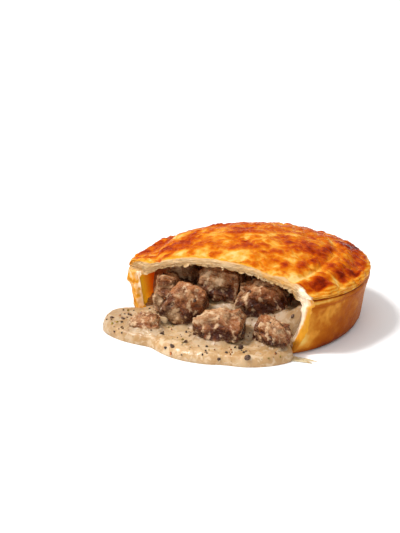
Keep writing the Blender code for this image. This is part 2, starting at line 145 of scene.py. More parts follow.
# (r, z) of the lid's shoulder beside the dome, and of its layered edge from there down to the seam
LID_SHOULDER = ((0.0485, 0.0279), (0.0500, 0.0275), (0.0515, 0.0271), (0.0528, 0.0266))
LID_EDGE = (
    (0.0537, LID_SEAM + 4.5 * LAYER),
    (LID_EDGE_RADIUS - 0.0005, LID_SEAM + 3.6 * LAYER),
    (LID_EDGE_RADIUS, LID_SEAM + 2.4 * LAYER),
    (LID_EDGE_RADIUS - 0.0001, LID_SEAM),
)
# (r, z) of the plug of the lid that sits inside the case
LID_PLUG = (
    (PLUG_RADIUS + 0.0005, LID_SEAM),
    (PLUG_RADIUS, LID_SEAM - PLUG_DEPTH),
    (PLUG_RADIUS - 0.0020, LID_SEAM - PLUG_DEPTH + 0.0002),
)
UNDERSIDE_RADIUS = 0.0440
DOME_STEPS = 92
UNDERSIDE_STEPS = 22

# The rim rises by the cut's +X end and sinks by its -X end, where the lip hangs lower, and at the back
RIGHT_END = -36
LEFT_END = -150
RISE = 0.0016
SINK = 0.0020
LIP_HANG = 0.0028
BACK_SINK = 0.0009
BACK_LEFT_SINK = 0.0022
BACK_RIGHT_SINK = 0.0010
WALL_SPREAD = 0.0009
FOOT_SPREAD = 0.0022
LEFT_FOOT_SPREAD = 0.0009
# Where round the rim each of these and of the lid's own swells lies, and how wide it is, in degrees
RISE_AT = (RIGHT_END, 18)
SINK_AT = (LEFT_END, 25)
BACK_LEFT_AT = (166, 26)
BACK_RIGHT_AT = (50, 16)
BACK_MIDDLE = 115
RIGHT_SPREAD_AT = (RIGHT_END, 20)
RIGHT_FOOT_AT = (RIGHT_END, 26)
LEFT_SPREAD_AT = (LEFT_END, 26)
LEFT_CRUMB_AT = (LEFT_END - 6, 16)
CREASE_BY_CUT_AT = (-45, 32)
CREASE_LEFT_AT = (180, 80)
RIM_SAG_AT = (150, 42)
END_SAG_AT = (-168, 13)
RIM_BULGE_AT = (-8, 50)
PALE_RIM_AT = (-20, 34)
PALE_FOOT_AT = (RIGHT_END, 9)
PALE_END_AT = (LEFT_END + 2, 12)

# Relief: depth, width of its lumps, and seed
WALL_LUMPS = (0.00055, 0.017, 0.0)
WALL_PIMPLES = (0.00025, 0.006, 3.0)
WALL_GRAIN = (0.00010, 0.0018, 21.0)
LIP_FRILL = (0.0005, 0.009, 5.0)
LIP_DROOP = (0.0004, 0.012, 8.0)
LID_SWELLS = (0.0008, 0.013, 0.0)
LID_BLISTERS = (0.0004, 0.0065, 2.0)
LID_UNDERSIDE = (0.0005, 0.008, 9.0)
LID_RAGGED = (0.0013, 0.0032, 29.0)
LID_CRIMP = (0.0005, 0.0085, 7.0)
LID_RIM_LUMPS = (0.0008, 0.0040, 27.0)
LID_FRAY = (0.0005, 0.006, 4.0)
LID_GRAIN = (0.00010, 0.0013, 22.0)
LAYER_FRAY = (0.00055, 0.0035, 30.0)
LEFT_END_CRUMB = (0.00055, 0.0026, 33.0)
PUFF_SIZE = 0.0056
SMALL_PUFF_SIZE = 0.0025

# Cut: a ragged knife face in front of the axis, whose foot steps forward at the +X end
CUT_Y = -0.0277
CUT_RAGGED = (0.0008, 0.008, 1.0)
CUT_CRUMB = (0.00028, 0.0011, 40.0)
CUT_LUMPS = (0.00040, 0.0030, 41.0)
WALL_CUT_BULGE = 0.0011
BAND_CUT_BULGE = 0.0007
FOOT_STEP = 0.0061
FOOT_STEP_TOP = 0.0190
KNIFE_TOP = 0.050
KNIFE_BOTTOM = -0.002
KNIFE_FRONT_Y = -0.075
KNIFE_REACH = 0.060
WALL_CUT_FROM = 0.0385
WALL_CUT_TO = 0.0500
FINE_COLUMN = 0.00026
COLUMN = 0.00045
WALL_ROWS = 36
BAND_LOW = 0.0066
BAND_ROWS = 54
BAND_PITCH = 0.00017
ROWS_PER_LAYER = 3
BAND_WAVE = (0.00035, 0.0055, 14.0)
BAND_LOOSE = (0.00030, 0.0060, 17.0)
BAND_CRACK = 0.00034

# Flakes: how far along the cut, how deep in the lid, how wide and how long they are, from and to
FLAKE_X = (-0.030, 0.037)
FLAKE_DEPTH = (0.62, 0.82)
FLAKE_WIDTH = (0.0008, 0.0026)
FLAKE_DROP = (0.0009, 0.0016)
FLAKE_THICKNESS = 0.00022
FLAKE_LOOK = {"toast": 0.15, "inside": 0.0, "behind": 0.0, "cut": 1.0, "brown": 0.2, "depth": 0.5}

# Sauce: a pool in front, a heap behind the cut, and the level of the uncut filling at the back
POOL_POLE = Vector((0.0, -0.0400))
POOL_DEPTH = 0.0042
POOL_EDGE_WIDTH = 0.0042
HEAP_LEVEL = 0.0132
BACK_LEVEL = 0.0180
HEAP_WIDTH = 0.0260
LOWEST_SAUCE = 0.0046
HIGHEST_SAUCE = 0.0204
BACK_START_Y = -0.0140
BACK_Y = -0.0020
FRONT_Y = -0.0440
LEFT_FRONT_Y = -0.0240
CLING_HEIGHT = 0.0112
CLING_WIDTH = 0.0060
LEFT_DIP = 0.0085
# Where the sauce meets the right and the left wall, from and to, along X and along Y
RIGHT_WALL_X = (0.010, 0.036)
RIGHT_WALL_Y = (-0.033, -0.024)
LEFT_WALL_X = (0.030, 0.041)
LEFT_WALL_Y = (-0.012, 0.004)
SWELL = 0.0010
SWELL_PLACE = Vector((0.0030, -0.0275))
SWELL_RADIUS = 0.0075
SAUCE_RIPPLE = (0.0005, 0.009, 6.0)
SAUCE_LUMPS = (0.00045, 0.0034, 16.0)
# The pool's outline about POOL_POLE: angle in degrees and reach in metres
POOL_EDGE = (
    (163, 0.0425),
    (170, 0.0497),
    (177, 0.0521),
    (187, 0.0500),
    (197, 0.0460),
    (206, 0.0395),
    (216, 0.0315),
    (225, 0.0257),
    (238, 0.0236),
    (266, 0.0236),
    (290, 0.0249),
    (306, 0.0267),
    (319, 0.0287),
    (332, 0.0345),
    (346, 0.0402),
    (357, 0.0437),
    (362, 0.0440),
    (366, 0.0428),
    (369, 0.0408),
    (373, 0.0392),
)
SAUCE_SPOKES = 480
SAUCE_RINGS = 110
SAUCE_EDGE_RINGS = 14
SAUCE_FLOOR_RINGS = 10
SAUCE_CLIMB = 0.0019
SAUCE_CLIMB_WIDTH = 0.0016
SMEAR_START = Vector((0.0395, -0.0375))
SMEAR_END = Vector((0.0525, -0.0362))
SMEAR_WIDTH = 0.0034
SMEAR_DEPTH = 0.00028
SMEAR_EDGE = 0.00003

# Beef: name, centre, size, turn in degrees, the width of its top as a share, and the seed of its surface
BEEF = (
    ("beef_middle_front", (0.0098, -0.0427, 0.0102), (0.0235, 0.0155, 0.0140), (-6, -10, 14), 0.90, 13),
    ("beef_left_front", (-0.0120, -0.0343, 0.0142), (0.0218, 0.0155, 0.0182), (6, 24, 20), 0.62, 12),
    ("beef_right_front", (0.0330, -0.0366, 0.0098), (0.0188, 0.0135, 0.0134), (4, 8, -12), 0.75, 14),
    ("beef_spilled", (-0.0260, -0.0484, 0.0049), (0.0158, 0.0125, 0.0088), (8, -6, 25), 0.80, 11),
    ("beef_right_back", (0.0188, -0.0218, 0.0190), (0.0255, 0.0160, 0.0158), (8, -14, 18), 0.74, 18),
    ("beef_middle_back", (-0.0036, -0.0184, 0.0209), (0.0190, 0.0140, 0.0155), (-8, 6, 16), 1.10, 17),
    ("beef_left", (-0.0277, -0.0258, 0.0132), (0.0125, 0.0130, 0.0160), (0, 8, 30), 0.85, 15),
    ("beef_left_back", (-0.0278, -0.0120, 0.0185), (0.0160, 0.0125, 0.0130), (10, -8, 10), 0.90, 16),
    ("beef_deep", (0.0065, -0.0030, 0.0178), (0.0150, 0.0130, 0.0130), (12, 8, 40), 0.85, 19),
)
# How much paler some chunks are than the others
BEEF_PALER = {"beef_right_front": -0.10, "beef_spilled": -0.14, "beef_middle_back": 0.10}
BEEF_LOWEST = 0.0005
BEEF_CUTS = 52
BEEF_ROUNDING = 0.44
BEEF_LUMPS = (0.0021, 0.012, 0.0)
BEEF_CRAGS = (0.0011, 0.0045, 3.0)
BEEF_TORN = 0.00150
BEEF_FACETS = 5
BEEF_BALL = 1.15
# Torn surface of the meat: share, width and seed of each kind
MEAT_LUMPS = (0.60, 0.0036, 5.0)
MEAT_TEARS = (2.4, 0.0026, 6.0)
MEAT_STRANDS = (0.16, 0.0013, 7.0)
MEAT_CRUMBS = (0.10, 0.0011, 8.0)
# Tone of the meat: a base, painted light on tops that face up, painted shade in the hollows of the torn
# relief, and random patches
BEEF_TONE = 0.13
PAINTED_LIGHT_ON_TOPS = 0.54
PAINTED_SHADE_IN_HOLLOWS = 0.55
TONE_PATCHES = (0.22, 0.006, 9.0)
SPLASH_SHARE = 0.62

# Cracked pepper: where its larger pieces lie, their diameter and their colour, as a number in PEPPER_TINTS
PEPPER = (
    ((-0.0146, -0.0524, 0.0041), 0.0026, 0),
    ((-0.0032, -0.0605, 0.0037), 0.0030, 1),
    ((-0.0005, -0.0550, 0.0043), 0.0025, 1),
    ((0.0237, -0.0483, 0.0046), 0.0033, 0),
    ((0.0304, -0.0543, 0.0036), 0.0033, 1),
    ((0.0191, -0.0591, 0.0024), 0.0016, 0),
    ((0.0207, -0.0423, 0.0093), 0.0022, 0),
    ((0.0362, -0.0423, 0.0071), 0.0020, 0),
    ((0.0356, -0.0428, 0.0106), 0.0015, 0),
    ((-0.0394, -0.0450, 0.0044), 0.0024, 1),
    ((-0.0374, -0.0491, 0.0048), 0.0016, 0),
    ((-0.0364, -0.0560, 0.0026), 0.0016, 1),
    ((0.0382, -0.0284, 0.0159), 0.0020, 1),
    ((-0.0053, -0.0403, 0.0050), 0.0015, 2),
    ((-0.0057, -0.0383, 0.0178), 0.0017, 0),
    ((0.0175, -0.0275, 0.0230), 0.0015, 0),
    ((0.0189, -0.0295, 0.0171), 0.0021, 0),
    ((0.0030, -0.0202, 0.0224), 0.0013, 0),
    ((0.0119, -0.0586, 0.0041), 0.0011, 0),
    ((0.0149, -0.0559, 0.0042), 0.0012, 3),
    ((0.0029, -0.0630, 0.0023), 0.0013, 0),
    ((0.0229, -0.0560, 0.0041), 0.0013, 3),
    ((0.0378, -0.0492, 0.0033), 0.0014, 4),
    ((-0.0254, -0.0473, 0.0125), 0.0013, 3),
    ((-0.0252, -0.0323, 0.0132), 0.0013, 3),
    ((-0.0440, -0.0470, 0.0040), 0.0020, 1),
    ((-0.0330, -0.0550, 0.0040), 0.0015, 2),
)
PEPPER_SUNK = 0.40
PEPPER_TINTS = (
    (0.070, 0.038, 0.026),
    (0.125, 0.070, 0.046),
    (0.170, 0.085, 0.035),
    (0.300, 0.090, 0.020),
    (0.280, 0.190, 0.035),
)
# Flecks: their diameters in the pool and on the beef, where they are dropped, and how low they may land
POOL_FLECKS = (0.0005, 0.0017)
BEEF_FLECKS = (0.0005, 0.0013)
FLECK_X = (-0.052, 0.048)
FLECK_Y = (-0.064, -0.006)
FLECK_DROP_HEIGHT = 0.030
FLECK_LOWEST = 0.0015
FLECK_TRIES = 60
ROUND_CORN = 0.0015

# Meshes: the longest step between two points of each part of an outline, and the steps of a full turn
FLOOR_STEP = 0.006
INSIDE_STEP = 0.0007
LIP_STEP = 0.0003
OUTSIDE_STEP = 0.0005
UNDER_STEP = 0.005
EDGE_STEP = 0.00013
PLUG_STEP = 0.0012
ROUNDING_STEPS = 8
SPIN_STEPS = 600
MERGE_DISTANCE = 0.000002
# Seed of the noise that bends bubbles and torn meat. Without one it would start from the clock
BEND_SEED = 7


def smooth(low, high, value):
    """0 below low, 1 above high, and an easy curve between them."""
    t = min(1.0, max(0.0, (value - low) / (high - low)))
    return t * t * (3 - 2 * t)


def grain(point, size, seed=0.0):
    """Smooth noise from -1 to 1 whose lumps are about size across."""
    return noise.noise(Vector(point) / size + Vector((seed, -seed, 0.5 * seed)))


def relief_at(kind, point, seed=0.0):
    """How far a kind of relief, given by its depth, its lumps' width and its seed, stands out somewhere."""
    depth, width, own_seed = kind
    return depth * grain(point, width, seed + own_seed)


def along_rim(angle, height=0.0):
    """A place on the rim, laid out flat, so that relief runs along it."""
    return (math.radians(angle) * RIM_RADIUS, 0.0, height)


def arc(centre, radius, start, end, count):
    """Points along an arc in the (r, z) plane, with angles in degrees from +r towards +z."""
    angles = [math.radians(start + (end - start) * i / count) for i in range(count + 1)]
    return [(centre[0] + radius * math.cos(a), centre[1] + radius * math.sin(a)) for a in angles]


def bump(angle, middle, width):
    """1 at an angle, falling to 0 within about twice the width, all in degrees."""
    away = (angle - middle + 180) % 360 - 180
    return math.exp(-((away / width) ** 2))


def angle_of(point):
    """The angle of a place about the pie's axis, in degrees from +X towards +Y."""
    return math.degrees(math.atan2(point[1], point[0]))


def way_at(angle):
    """The level direction at an angle in degrees."""
    return Vector((math.cos(math.radians(angle)), math.sin(math.radians(angle))))


def spots(p, places):
    """The sum at a place of soft round spots, given as x, y, radius and strength."""
    total = 0.0
    for x, y, radius, strength in places:
        total += strength * math.exp(-((p.x - x) ** 2 + (p.y - y) ** 2) / radius**2)
    return total


def outward(point):
    """The level direction away from the pie's axis."""
    flat = Vector((point[0], point[1], 0.0))
    return flat.normalized() if flat.length > 1e-6 else Vector()


def fill_in(points, step):
    """The outline with points added so that none is further than step from the next."""
    made = [points[0]]
    for (r1, z1), (r2, z2) in zip(points, points[1:]):
        count = max(1, math.ceil(math.hypot(r2 - r1, z2 - z1) / step))
        made += [(r1 + (r2 - r1) * i / count, z1 + (z2 - z1) * i / count) for i in range(1, count + 1)]
    return made


# --- Shapes that crust, sauce and beef share -------------------------------------------------------------


def wall_radius(z):
    """The radius of the case's outer skin at a height."""
    return BASE_RADIUS + (WALL_TOP_RADIUS - BASE_RADIUS) * min(1.0, z / WALL_TOP)


def dome_height(r):
    """The height of the dome's top at a radius."""
    return DOME_TOP - DOME_CURVE * r * r


def dome_lean(point):
    """How much higher the dome stands at a place because its top lies towards +X."""
    shift = DOME_LEAN - DOME_LEAN_FRONT * min(0.0, point[1])
    fade = 1 - smooth(0.044, 0.054, math.hypot(point[0], point[1]))
    return DOME_CURVE * shift * (2 * point[0] - shift) * fade


def ends_spread(angle):
    """How far the wall stands further out by its two cut ends."""
    return WALL_SPREAD * (bump(angle, *RIGHT_SPREAD_AT) + bump(angle, *LEFT_SPREAD_AT))


def rim_lift(point):
    """The rise and sinking of the rim, growing from nothing at the table and fading towards the dome."""
    angle = angle_of(point)
    lift = RISE * bump(angle, *RISE_AT) - SINK * bump(angle, *SINK_AT)
    lift -= BACK_SINK * smooth(0.0, 0.7, math.cos(math.radians(angle - BACK_MIDDLE)))
    lift -= BACK_LEFT_SINK * bump(angle, *BACK_LEFT_AT) + BACK_RIGHT_SINK * bump(angle, *BACK_RIGHT_AT)
    r = math.hypot(point[0], point[1])
    above = smooth(LIP_TOP + 0.0005, LIP_TOP + 0.0040, point[2])
    return lift * smooth(0.036, 0.049, r) * min(1.0, point[2] / LIP_TOP) * (1 - 0.6 * above)


def crease_radius(angle):
    """Where the lid folds between dome and rim: closer in at the back right, close to the edge at the cut."""
    by_cut = CREASE_OUT_BY_CUT * bump(angle, *CREASE_BY_CUT_AT)
    return CREASE_RADIUS + by_cut + CREASE_OUT_LEFT * bump(angle, *CREASE_LEFT_AT)


def crease_at(point):
    """1 in the fold of the lid, falling to 0 beside it."""
    r = math.hypot(point[0], point[1])
    return math.exp(-(((r - crease_radius(angle_of(point))) / CREASE_WIDTH) ** 2))


def cut_depth(x, z):
    """The y of the cut face at a place on it: ragged, with a foot that steps forward at +X."""
    ragged = relief_at(CUT_RAGGED, (x, 0.0, 0.5 * z))
    low = min(1.0, max(0.0, 1 - z / FOOT_STEP_TOP)) ** 1.6
    return CUT_Y + ragged - FOOT_STEP * low * smooth(0.033, 0.040, x)


def cut_curve(x):
    """The height of the lid's top where it is cut."""
    return dome_height(min(math.hypot(x, CUT_Y), DOME_RADIUS)) + dome_lean((x, CUT_Y, 0.0))


def pool_reach(angle):
    """The pool's reach from POOL_POLE at an angle in degrees, on a smooth curve through POOL_EDGE."""
    if angle < POOL_EDGE[0][0]:
        angle += 360
    for i in range(len(POOL_EDGE) - 1):
        (a1, r1), (a2, r2) = POOL_EDGE[i], POOL_EDGE[i + 1]
        if a1 <= angle <= a2:
            a0, r0 = POOL_EDGE[max(0, i - 1)]
            a3, r3 = POOL_EDGE[min(len(POOL_EDGE) - 1, i + 2)]
            width = a2 - a1
            t = (angle - a1) / width
            rise1 = width * (r2 - r0) / (a2 - a0)
            rise2 = width * (r3 - r1) / (a3 - a1)
            ends = (1 + 2 * t) * (1 - t) ** 2 * r1 + (3 - 2 * t) * t * t * r2
            return ends + t * (1 - t) ** 2 * rise1 - t * t * (1 - t) * rise2
    return None


def case_reach(angle, radius):
    """How far the circle of that radius about the pie's axis lies from POOL_POLE at an angle."""
    along = way_at(angle)
    b = POOL_POLE.dot(along)
    return -b + math.sqrt(b * b - POOL_POLE.length_squared + radius * radius)


def sauce_level(x, y):
    """The height of the sauce's top: a pool in front, a heap behind the cut, the uncut level at the back."""
    left = smooth(0.3, 1.0, -x / LEFT_WALL_X[1])
    front = FRONT_Y + (LEFT_FRONT_Y - FRONT_Y) * left
    level = POOL_DEPTH + (HEAP_LEVEL - POOL_DEPTH) * smooth(front, front + HEAP_WIDTH, y)
    back = smooth(BACK_START_Y, BACK_Y, y)
    level += (BACK_LEVEL - level) * back
    wall_gap = max(0.0, wall_radius(0.01) - WALL_THICKNESS - math.hypot(x, y))
    by_right_wall = smooth(*RIGHT_WALL_X, x) * smooth(*RIGHT_WALL_Y, y)
    cling = CLING_HEIGHT * math.exp(-wall_gap / CLING_WIDTH) * by_right_wall
    level += cling * (1 - back) + relief_at(SAUCE_RIPPLE, (x, y, 0.0))
    by_left_wall = smooth(*LEFT_WALL_X, -x) * (1 - smooth(*LEFT_WALL_Y, y)) * (y > FRONT_Y)
    level -= LEFT_DIP * by_left_wall
    level += SWELL * math.exp(-((Vector((x, y)) - SWELL_PLACE).length_squared) / SWELL_RADIUS**2)
    return min(max(level, LOWEST_SAUCE), HIGHEST_SAUCE)


def puffs(point, size, seed):
    """Rounded bubbles of puff pastry, 0 in the valleys between them and 1 on their tops."""
    place = Vector(point) / size + Vector((seed, 2 * seed, -seed))
    place += 0.35 * noise.noise_vector(place * 0.9)
    away = noise.voronoi(place)[0]
    rise = min(1.0, 1.35 * (away[1] - away[0]))
    return rise * (2 - rise)


# --- Meshes ----------------------------------------------------------------------------------------------


def new_object(name, mesh, material=None):
    """An object of that mesh, in the scene."""
    made = bpy.data.objects.new(name, mesh)
    bpy.context.scene.collection.objects.link(made)
    if material:
        made.data.materials.append(material)
    return made


def mesh_from(bm, name):
    """The bmesh as a smooth mesh with its faces turned outwards."""
    bmesh.ops.recalc_face_normals(bm, faces=bm.faces)
    mesh = bpy.data.meshes.new(name)
    bm.to_mesh(mesh)
    bm.free()
    mesh.shade_smooth()
    return mesh


def turned(profile, steps=SPIN_STEPS):
    """A profile of (r, z) points spun once round +Z, with its poles closed."""
    bm = bmesh.new()
    points = [bm.verts.new((r, 0.0, z)) for r, z in profile]
    edges = [bm.edges.new(pair) for pair in zip(points, points[1:])]
    bmesh.ops.spin(
        bm,
        geom=points + edges,
        cent=(0, 0, 0),
        axis=(0, 0, 1),
        angle=2 * math.pi,
        steps=steps,
        use_merge=True,
    )
    bmesh.ops.remove_doubles(bm, verts=bm.verts, dist=MERGE_DISTANCE)
    bmesh.ops.recalc_face_normals(bm, faces=bm.faces)
    bm.normal_update()
    return bm


def moved_by(bm, shape):
    """Moves every point to where shape(point, normal) puts it."""
    places = [shape(v.co.copy(), v.normal.copy()) for v in bm.verts]
    for vertex, place in zip(bm.verts, places):
        vertex.co = place


def extruded(bm, faces):
    """Extrudes the faces in place and gives back the new points, which are still to be moved."""
    made = bmesh.ops.extrude_face_region(bm, geom=faces)["geom"]
    return [part for part in made if isinstance(part, bmesh.types.BMVert)]


def carve(obj, cutter):
    """Cuts the cutter from the object for good and removes the cutter."""
    step = obj.modifiers.new("carve", "BOOLEAN")
    step.operation = "DIFFERENCE"
    step.object = cutter
    step.solver = "MANIFOLD"
    graph = bpy.context.evaluated_depsgraph_get()
    obj.data = bpy.data.meshes.new_from_object(obj.evaluated_get(graph))
    obj.modifiers.clear()
    bpy.data.objects.remove(cutter)


def store(mesh, name, values):
    """Keeps one number for each point of the mesh, which materials read by its name."""
    layer = mesh.attributes.new(name, "FLOAT", "POINT")
    layer.data.foreach_set("value", values)


def store_places(mesh, name, places):
    """Keeps one place for each point of the mesh."""
    layer = mesh.attributes.new(name, "FLOAT_VECTOR", "POINT")
    layer.data.foreach_set("vector", [x for place in places for x in place])


def cut_share(mesh):
    """For each point, the share of the faces round it that the knife made."""
    flags = mesh.attributes["from_knife"]
    touching = [0] * len(mesh.vertices)
    cut = [0] * len(mesh.vertices)
    for polygon, flag in zip(mesh.polygons, flags.data):
        for i in polygon.vertices:
            touching[i] += 1
            cut[i] += flag.value
    return [c / max(1, t) for c, t in zip(cut, touching)]


def finish_piece(obj, slot, *nodes):
    """Puts the piece into the model in place of its CAD nodes."""
    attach(obj, "root")
    if nodes:
        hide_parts(*nodes)


# --- Crust -----------------------------------------------------------------------------------------------


def case_profile():
    """(r, z) of the cup, from the middle of its floor up the inside, over the lip and down the outside."""
    inner_foot = wall_radius(FLOOR_THICKNESS) - WALL_THICKNESS - INNER_ROUNDING
    floor = fill_in([(0.0, FLOOR_THICKNESS), (inner_foot, FLOOR_THICKNESS)], FLOOR_STEP)
    inside = arc((inner_foot, FLOOR_THICKNESS + INNER_ROUNDING), INNER_ROUNDING, -90, -5, ROUNDING_STEPS)
    inside.append((wall_radius(WALL_TOP) - WALL_THICKNESS, WALL_TOP))
    inside += [(PLUG_RADIUS, LIP_TOP - PLUG_DEPTH + 0.0006), (PLUG_RADIUS, SEAM_TOP)]
    inside = fill_in(inside, INSIDE_STEP)
    lip = fill_in([inside[-1], *LIP_OUTLINE], LIP_STEP)
    outside = fill_in([lip[-1], (wall_radius(BASE_ROUNDING), BASE_ROUNDING)], OUTSIDE_STEP)
    foot = arc((BASE_RADIUS - BASE_ROUNDING, BASE_ROUNDING), BASE_ROUNDING, 0, -90, ROUNDING_STEPS)
    under = fill_in([foot[-1], (0.0, 0.0)], UNDER_STEP)
    return floor + inside[1:] + lip[1:] + outside[1:] + foot[1:] + under[1:]


def case_shape(point, normal):
    """Uneven baked walls that spread by the cut. The floor's underside and the seam stay true."""
    r = math.hypot(point.x, point.y)
    angle = angle_of(point)
    seam = smooth(LIP_TOP - 0.0012, LIP_TOP - 0.0002, point.z)
    free = smooth(0.0, 0.004, point.z) * (1 - seam)
    outer = smooth(-0.2, 0.4, normal.dot(outward(point)))
    lumps = relief_at(WALL_LUMPS, point) + relief_at(WALL_PIMPLES, point) + relief_at(WALL_GRAIN, point)
    lumps += relief_at(LEFT_END_CRUMB, point) * bump(angle, *LEFT_CRUMB_AT)
    made = point + normal * (lumps * free * (0.4 + 0.6 * outer))
    spread = FOOT_SPREAD * bump(angle, *RIGHT_FOOT_AT) + LEFT_FOOT_SPREAD * bump(angle, *LEFT_SPREAD_AT)
    low = 1 - smooth(0.0, WALL_TOP, point.z)
    made += outward(point) * (spread * low + ends_spread(angle)) * smooth(0.030, 0.046, r)
    on_lip = smooth(WALL_TOP_RADIUS - 0.0002, RIM_RADIUS - 0.0006, r)
    made += outward(point) * relief_at(LIP_FRILL, along_rim(angle)) * on_lip
    hang = LIP_HANG * bump(angle, *SINK_AT) + relief_at(LIP_DROOP, along_rim(angle))
    made.z -= hang * smooth(WALL_TOP - 0.006, WALL_TOP, point.z) * (1 - seam) * outer
    made.z += rim_lift(point)
    return made


def lid_profile():
    """(r, z) of the lid, from the top of the dome, down its flaky edge and back underneath."""
    outer = [DOME_RADIUS * i / DOME_STEPS for i in range(DOME_STEPS + 1)]
    top = [(r, dome_height(r)) for r in outer]
    shoulder = fill_in([top[-1], *LID_SHOULDER], OUTSIDE_STEP)
    edge = fill_in([shoulder[-1], *LID_EDGE], EDGE_STEP)
    plug = fill_in([edge[-1], *LID_PLUG], PLUG_STEP)
    inner = [UNDERSIDE_RADIUS * (1 - i / UNDERSIDE_STEPS) for i in range(UNDERSIDE_STEPS + 1)]
    under = [(r, dome_height(r) - LID_THICKNESS) for r in inner]
    return top + shoulder[1:] + edge[1:] + plug[1:] + under


def lid_puffs(point):
    """The bubbled surface of the lid, from 0 to 1, larger bubbles on the dome and smaller ones between."""
    flat = (point[0], point[1], 0.5 * point[2])
    return 0.65 * puffs(flat, PUFF_SIZE, 3.0) + 0.35 * puffs(flat, SMALL_PUFF_SIZE, 8.0)


def lid_fill(point):
    """How much thicker the lid is by the -X end of the cut, where it bulges over the wall."""
    across = (point[0] - LEFT_FILL_X) / LEFT_FILL_WIDTH
    back = (point[1] - CUT_Y) / LEFT_FILL_DEPTH
    return LEFT_FILL * math.exp(-across * across - back * back)


def lid_shape(point, normal):
    """Bubbles on the dome, a fold, a lumpy rim and loose layers at the edge. The seam stays true."""
    r = math.hypot(point.x, point.y)
    angle = angle_of(point)
    top = smooth(0.15, 0.6, normal.z)
    above = smooth(LID_SEAM + 0.0003, LID_SEAM + 0.0022, point.z)
    swells = relief_at(LID_SWELLS, point) + relief_at(LID_BLISTERS, point) - CREASE_DEPTH * crease_at(point)
    if top > 0:
        patchy = 0.45 + 0.55 * smooth(-0.25, 0.35, grain(point, 0.015, 12.0))
        swells += bpy.context.scene.pepper_pie_crust.puff_height * (lid_puffs(point) - 0.5) * patchy
        swells += relief_at(LID_GRAIN, point)
        from_fold = (r - crease_radius(angle) - RIM_BULGE_OUT) / RIM_BULGE_WIDTH
        swells += RIM_BULGE * math.exp(-from_fold * from_fold) * (0.35 + 0.65 * bump(angle, *RIM_BULGE_AT))
        swells += relief_at(LID_RIM_LUMPS, point) * smooth(0.044, 0.050, r)
    crimp = relief_at(LID_CRIMP, along_rim(angle))
    by_cut = math.exp(-abs(point.y - CUT_Y) / 0.0025)
    ragged = relief_at(LID_UNDERSIDE, point) + relief_at(LID_RAGGED, point) * by_cut
    under = ragged * smooth(0.2, 0.7, -normal.z) * (r < PLUG_RADIUS - 0.003)
    made = point + normal * (swells * top + under)
    made.z += crimp * above * smooth(0.043, 0.049, r)
    sag = RIM_SAG * bump(angle, *RIM_SAG_AT) + RIM_SAG_BY_END * bump(angle, *END_SAG_AT)
    made.z -= sag * above * smooth(0.038, 0.048, r)
    made.z += lid_fill(point) * top
    edge = above * smooth(0.0505, 0.0535, r)
    made += outward(point) * relief_at(LID_FRAY, along_rim(angle, 3 * point.z)) * edge
    layer = round((point.z - LID_SEAM) / LAYER)
    side = smooth(0.0532, 0.0540, r) * smooth(LID_SEAM - 0.0002, LID_SEAM + 0.0002, point.z) * (1 - top)
    fray = relief_at(LAYER_FRAY, (*along_rim(angle)[:2], 0.05 * layer)) - 0.00035 * (layer % 2)
    made += outward(point) * fray * side
    plug = smooth(0.0440, 0.0465, r) * (1 - smooth(LID_SEAM - 0.0008, LID_SEAM - 0.0002, point.z))
    made += outward(point) * ends_spread(angle) * plug
    made.z += rim_lift(point) + dome_lean(point) * above
    return made


def knife_columns():
    """The x of each column of the cut, closer together where it crosses the case's wall."""
    x = -KNIFE_REACH
    columns = [x]
    while x < KNIFE_REACH:
        x += FINE_COLUMN if WALL_CUT_FROM < abs(x) < WALL_CUT_TO else COLUMN
        columns.append(x)
    return columns


def knife_place(x, row):
    """A point of the cut: plain rows, then rows along the lid's curve that step in and out by layers."""
    curve = cut_curve(x)
    if row < WALL_ROWS:
        z = KNIFE_BOTTOM + (curve - BAND_LOW - KNIFE_BOTTOM) * row / WALL_ROWS
        crumb = relief_at(CUT_CRUMB, (x, 0.0, 0.5 * z)) + relief_at(CUT_LUMPS, (x, 0.0, 0.6 * z))
        through = case_depth(Vector((x, CUT_Y, z)))
        swell = WALL_CUT_BULGE * max(-0.6, 0.5 - (2 * through - 1) ** 2)
        return Vector((x, cut_depth(x, z) + crumb - swell, z))
    layer, within = divmod(row - WALL_ROWS, ROWS_PER_LAYER)
    wave = relief_at(BAND_WAVE, (x, 0.002 * layer, 0.0))
    z = curve - BAND_LOW + (row - WALL_ROWS) * BAND_PITCH + wave
    loose = relief_at(BAND_LOOSE, (x, 0.02 * layer, 0.0))
    crack = BAND_CRACK * smooth(0.1, 0.5, grain((x, 0.03 * layer, 0.0), 0.008, 19.0))
    through = (curve - z) / LID_THICKNESS
    swell = BAND_CUT_BULGE * max(-0.8, 0.5 - (2 * through - 1) ** 2)
    step = loose - swell + (crack if within == 0 else 0.0)
    return Vector((x, cut_depth(x, z) + step + relief_at(CUT_CRUMB, (x, 0.0, z)), z))


def knife():
    """A block in front of the pie whose back face is the ragged, layered cut."""
    columns = knife_columns()
    rows = WALL_ROWS + BAND_ROWS + 1
    bm = bmesh.new()
    bmesh.ops.create_grid(bm, x_segments=len(columns) - 1, y_segments=rows, size=1.0)
    mark = bm.faces.layers.int.new("from_knife")
    for vertex in bm.verts:
        x = columns[round((vertex.co.x + 1) / 2 * (len(columns) - 1))]
        row = round((vertex.co.y + 1) / 2 * rows)
        vertex.co = knife_place(x, row) if row < rows else Vector((x, CUT_Y, KNIFE_TOP))
    for vertex in extruded(bm, list(bm.faces)):
        vertex.co.y = KNIFE_FRONT_Y
    for face in bm.faces:
        face[mark] = 1
    return new_object("knife", mesh_from(bm, "knife"))


def lid_top(r):
    """The height of the lid's upper surface at a radius."""
    if r < DOME_RADIUS:
        return dome_height(r)
    points = ((DOME_RADIUS, dome_height(DOME_RADIUS)), *LID_SHOULDER, (LID_EDGE_RADIUS, LIP_TOP + 3 * LAYER))
    for (r1, z1), (r2, z2) in zip(points, points[1:]):
        if r < r2:
            return z1 + (z2 - z1) * (r - r1) / (r2 - r1)
    return points[-1][1]


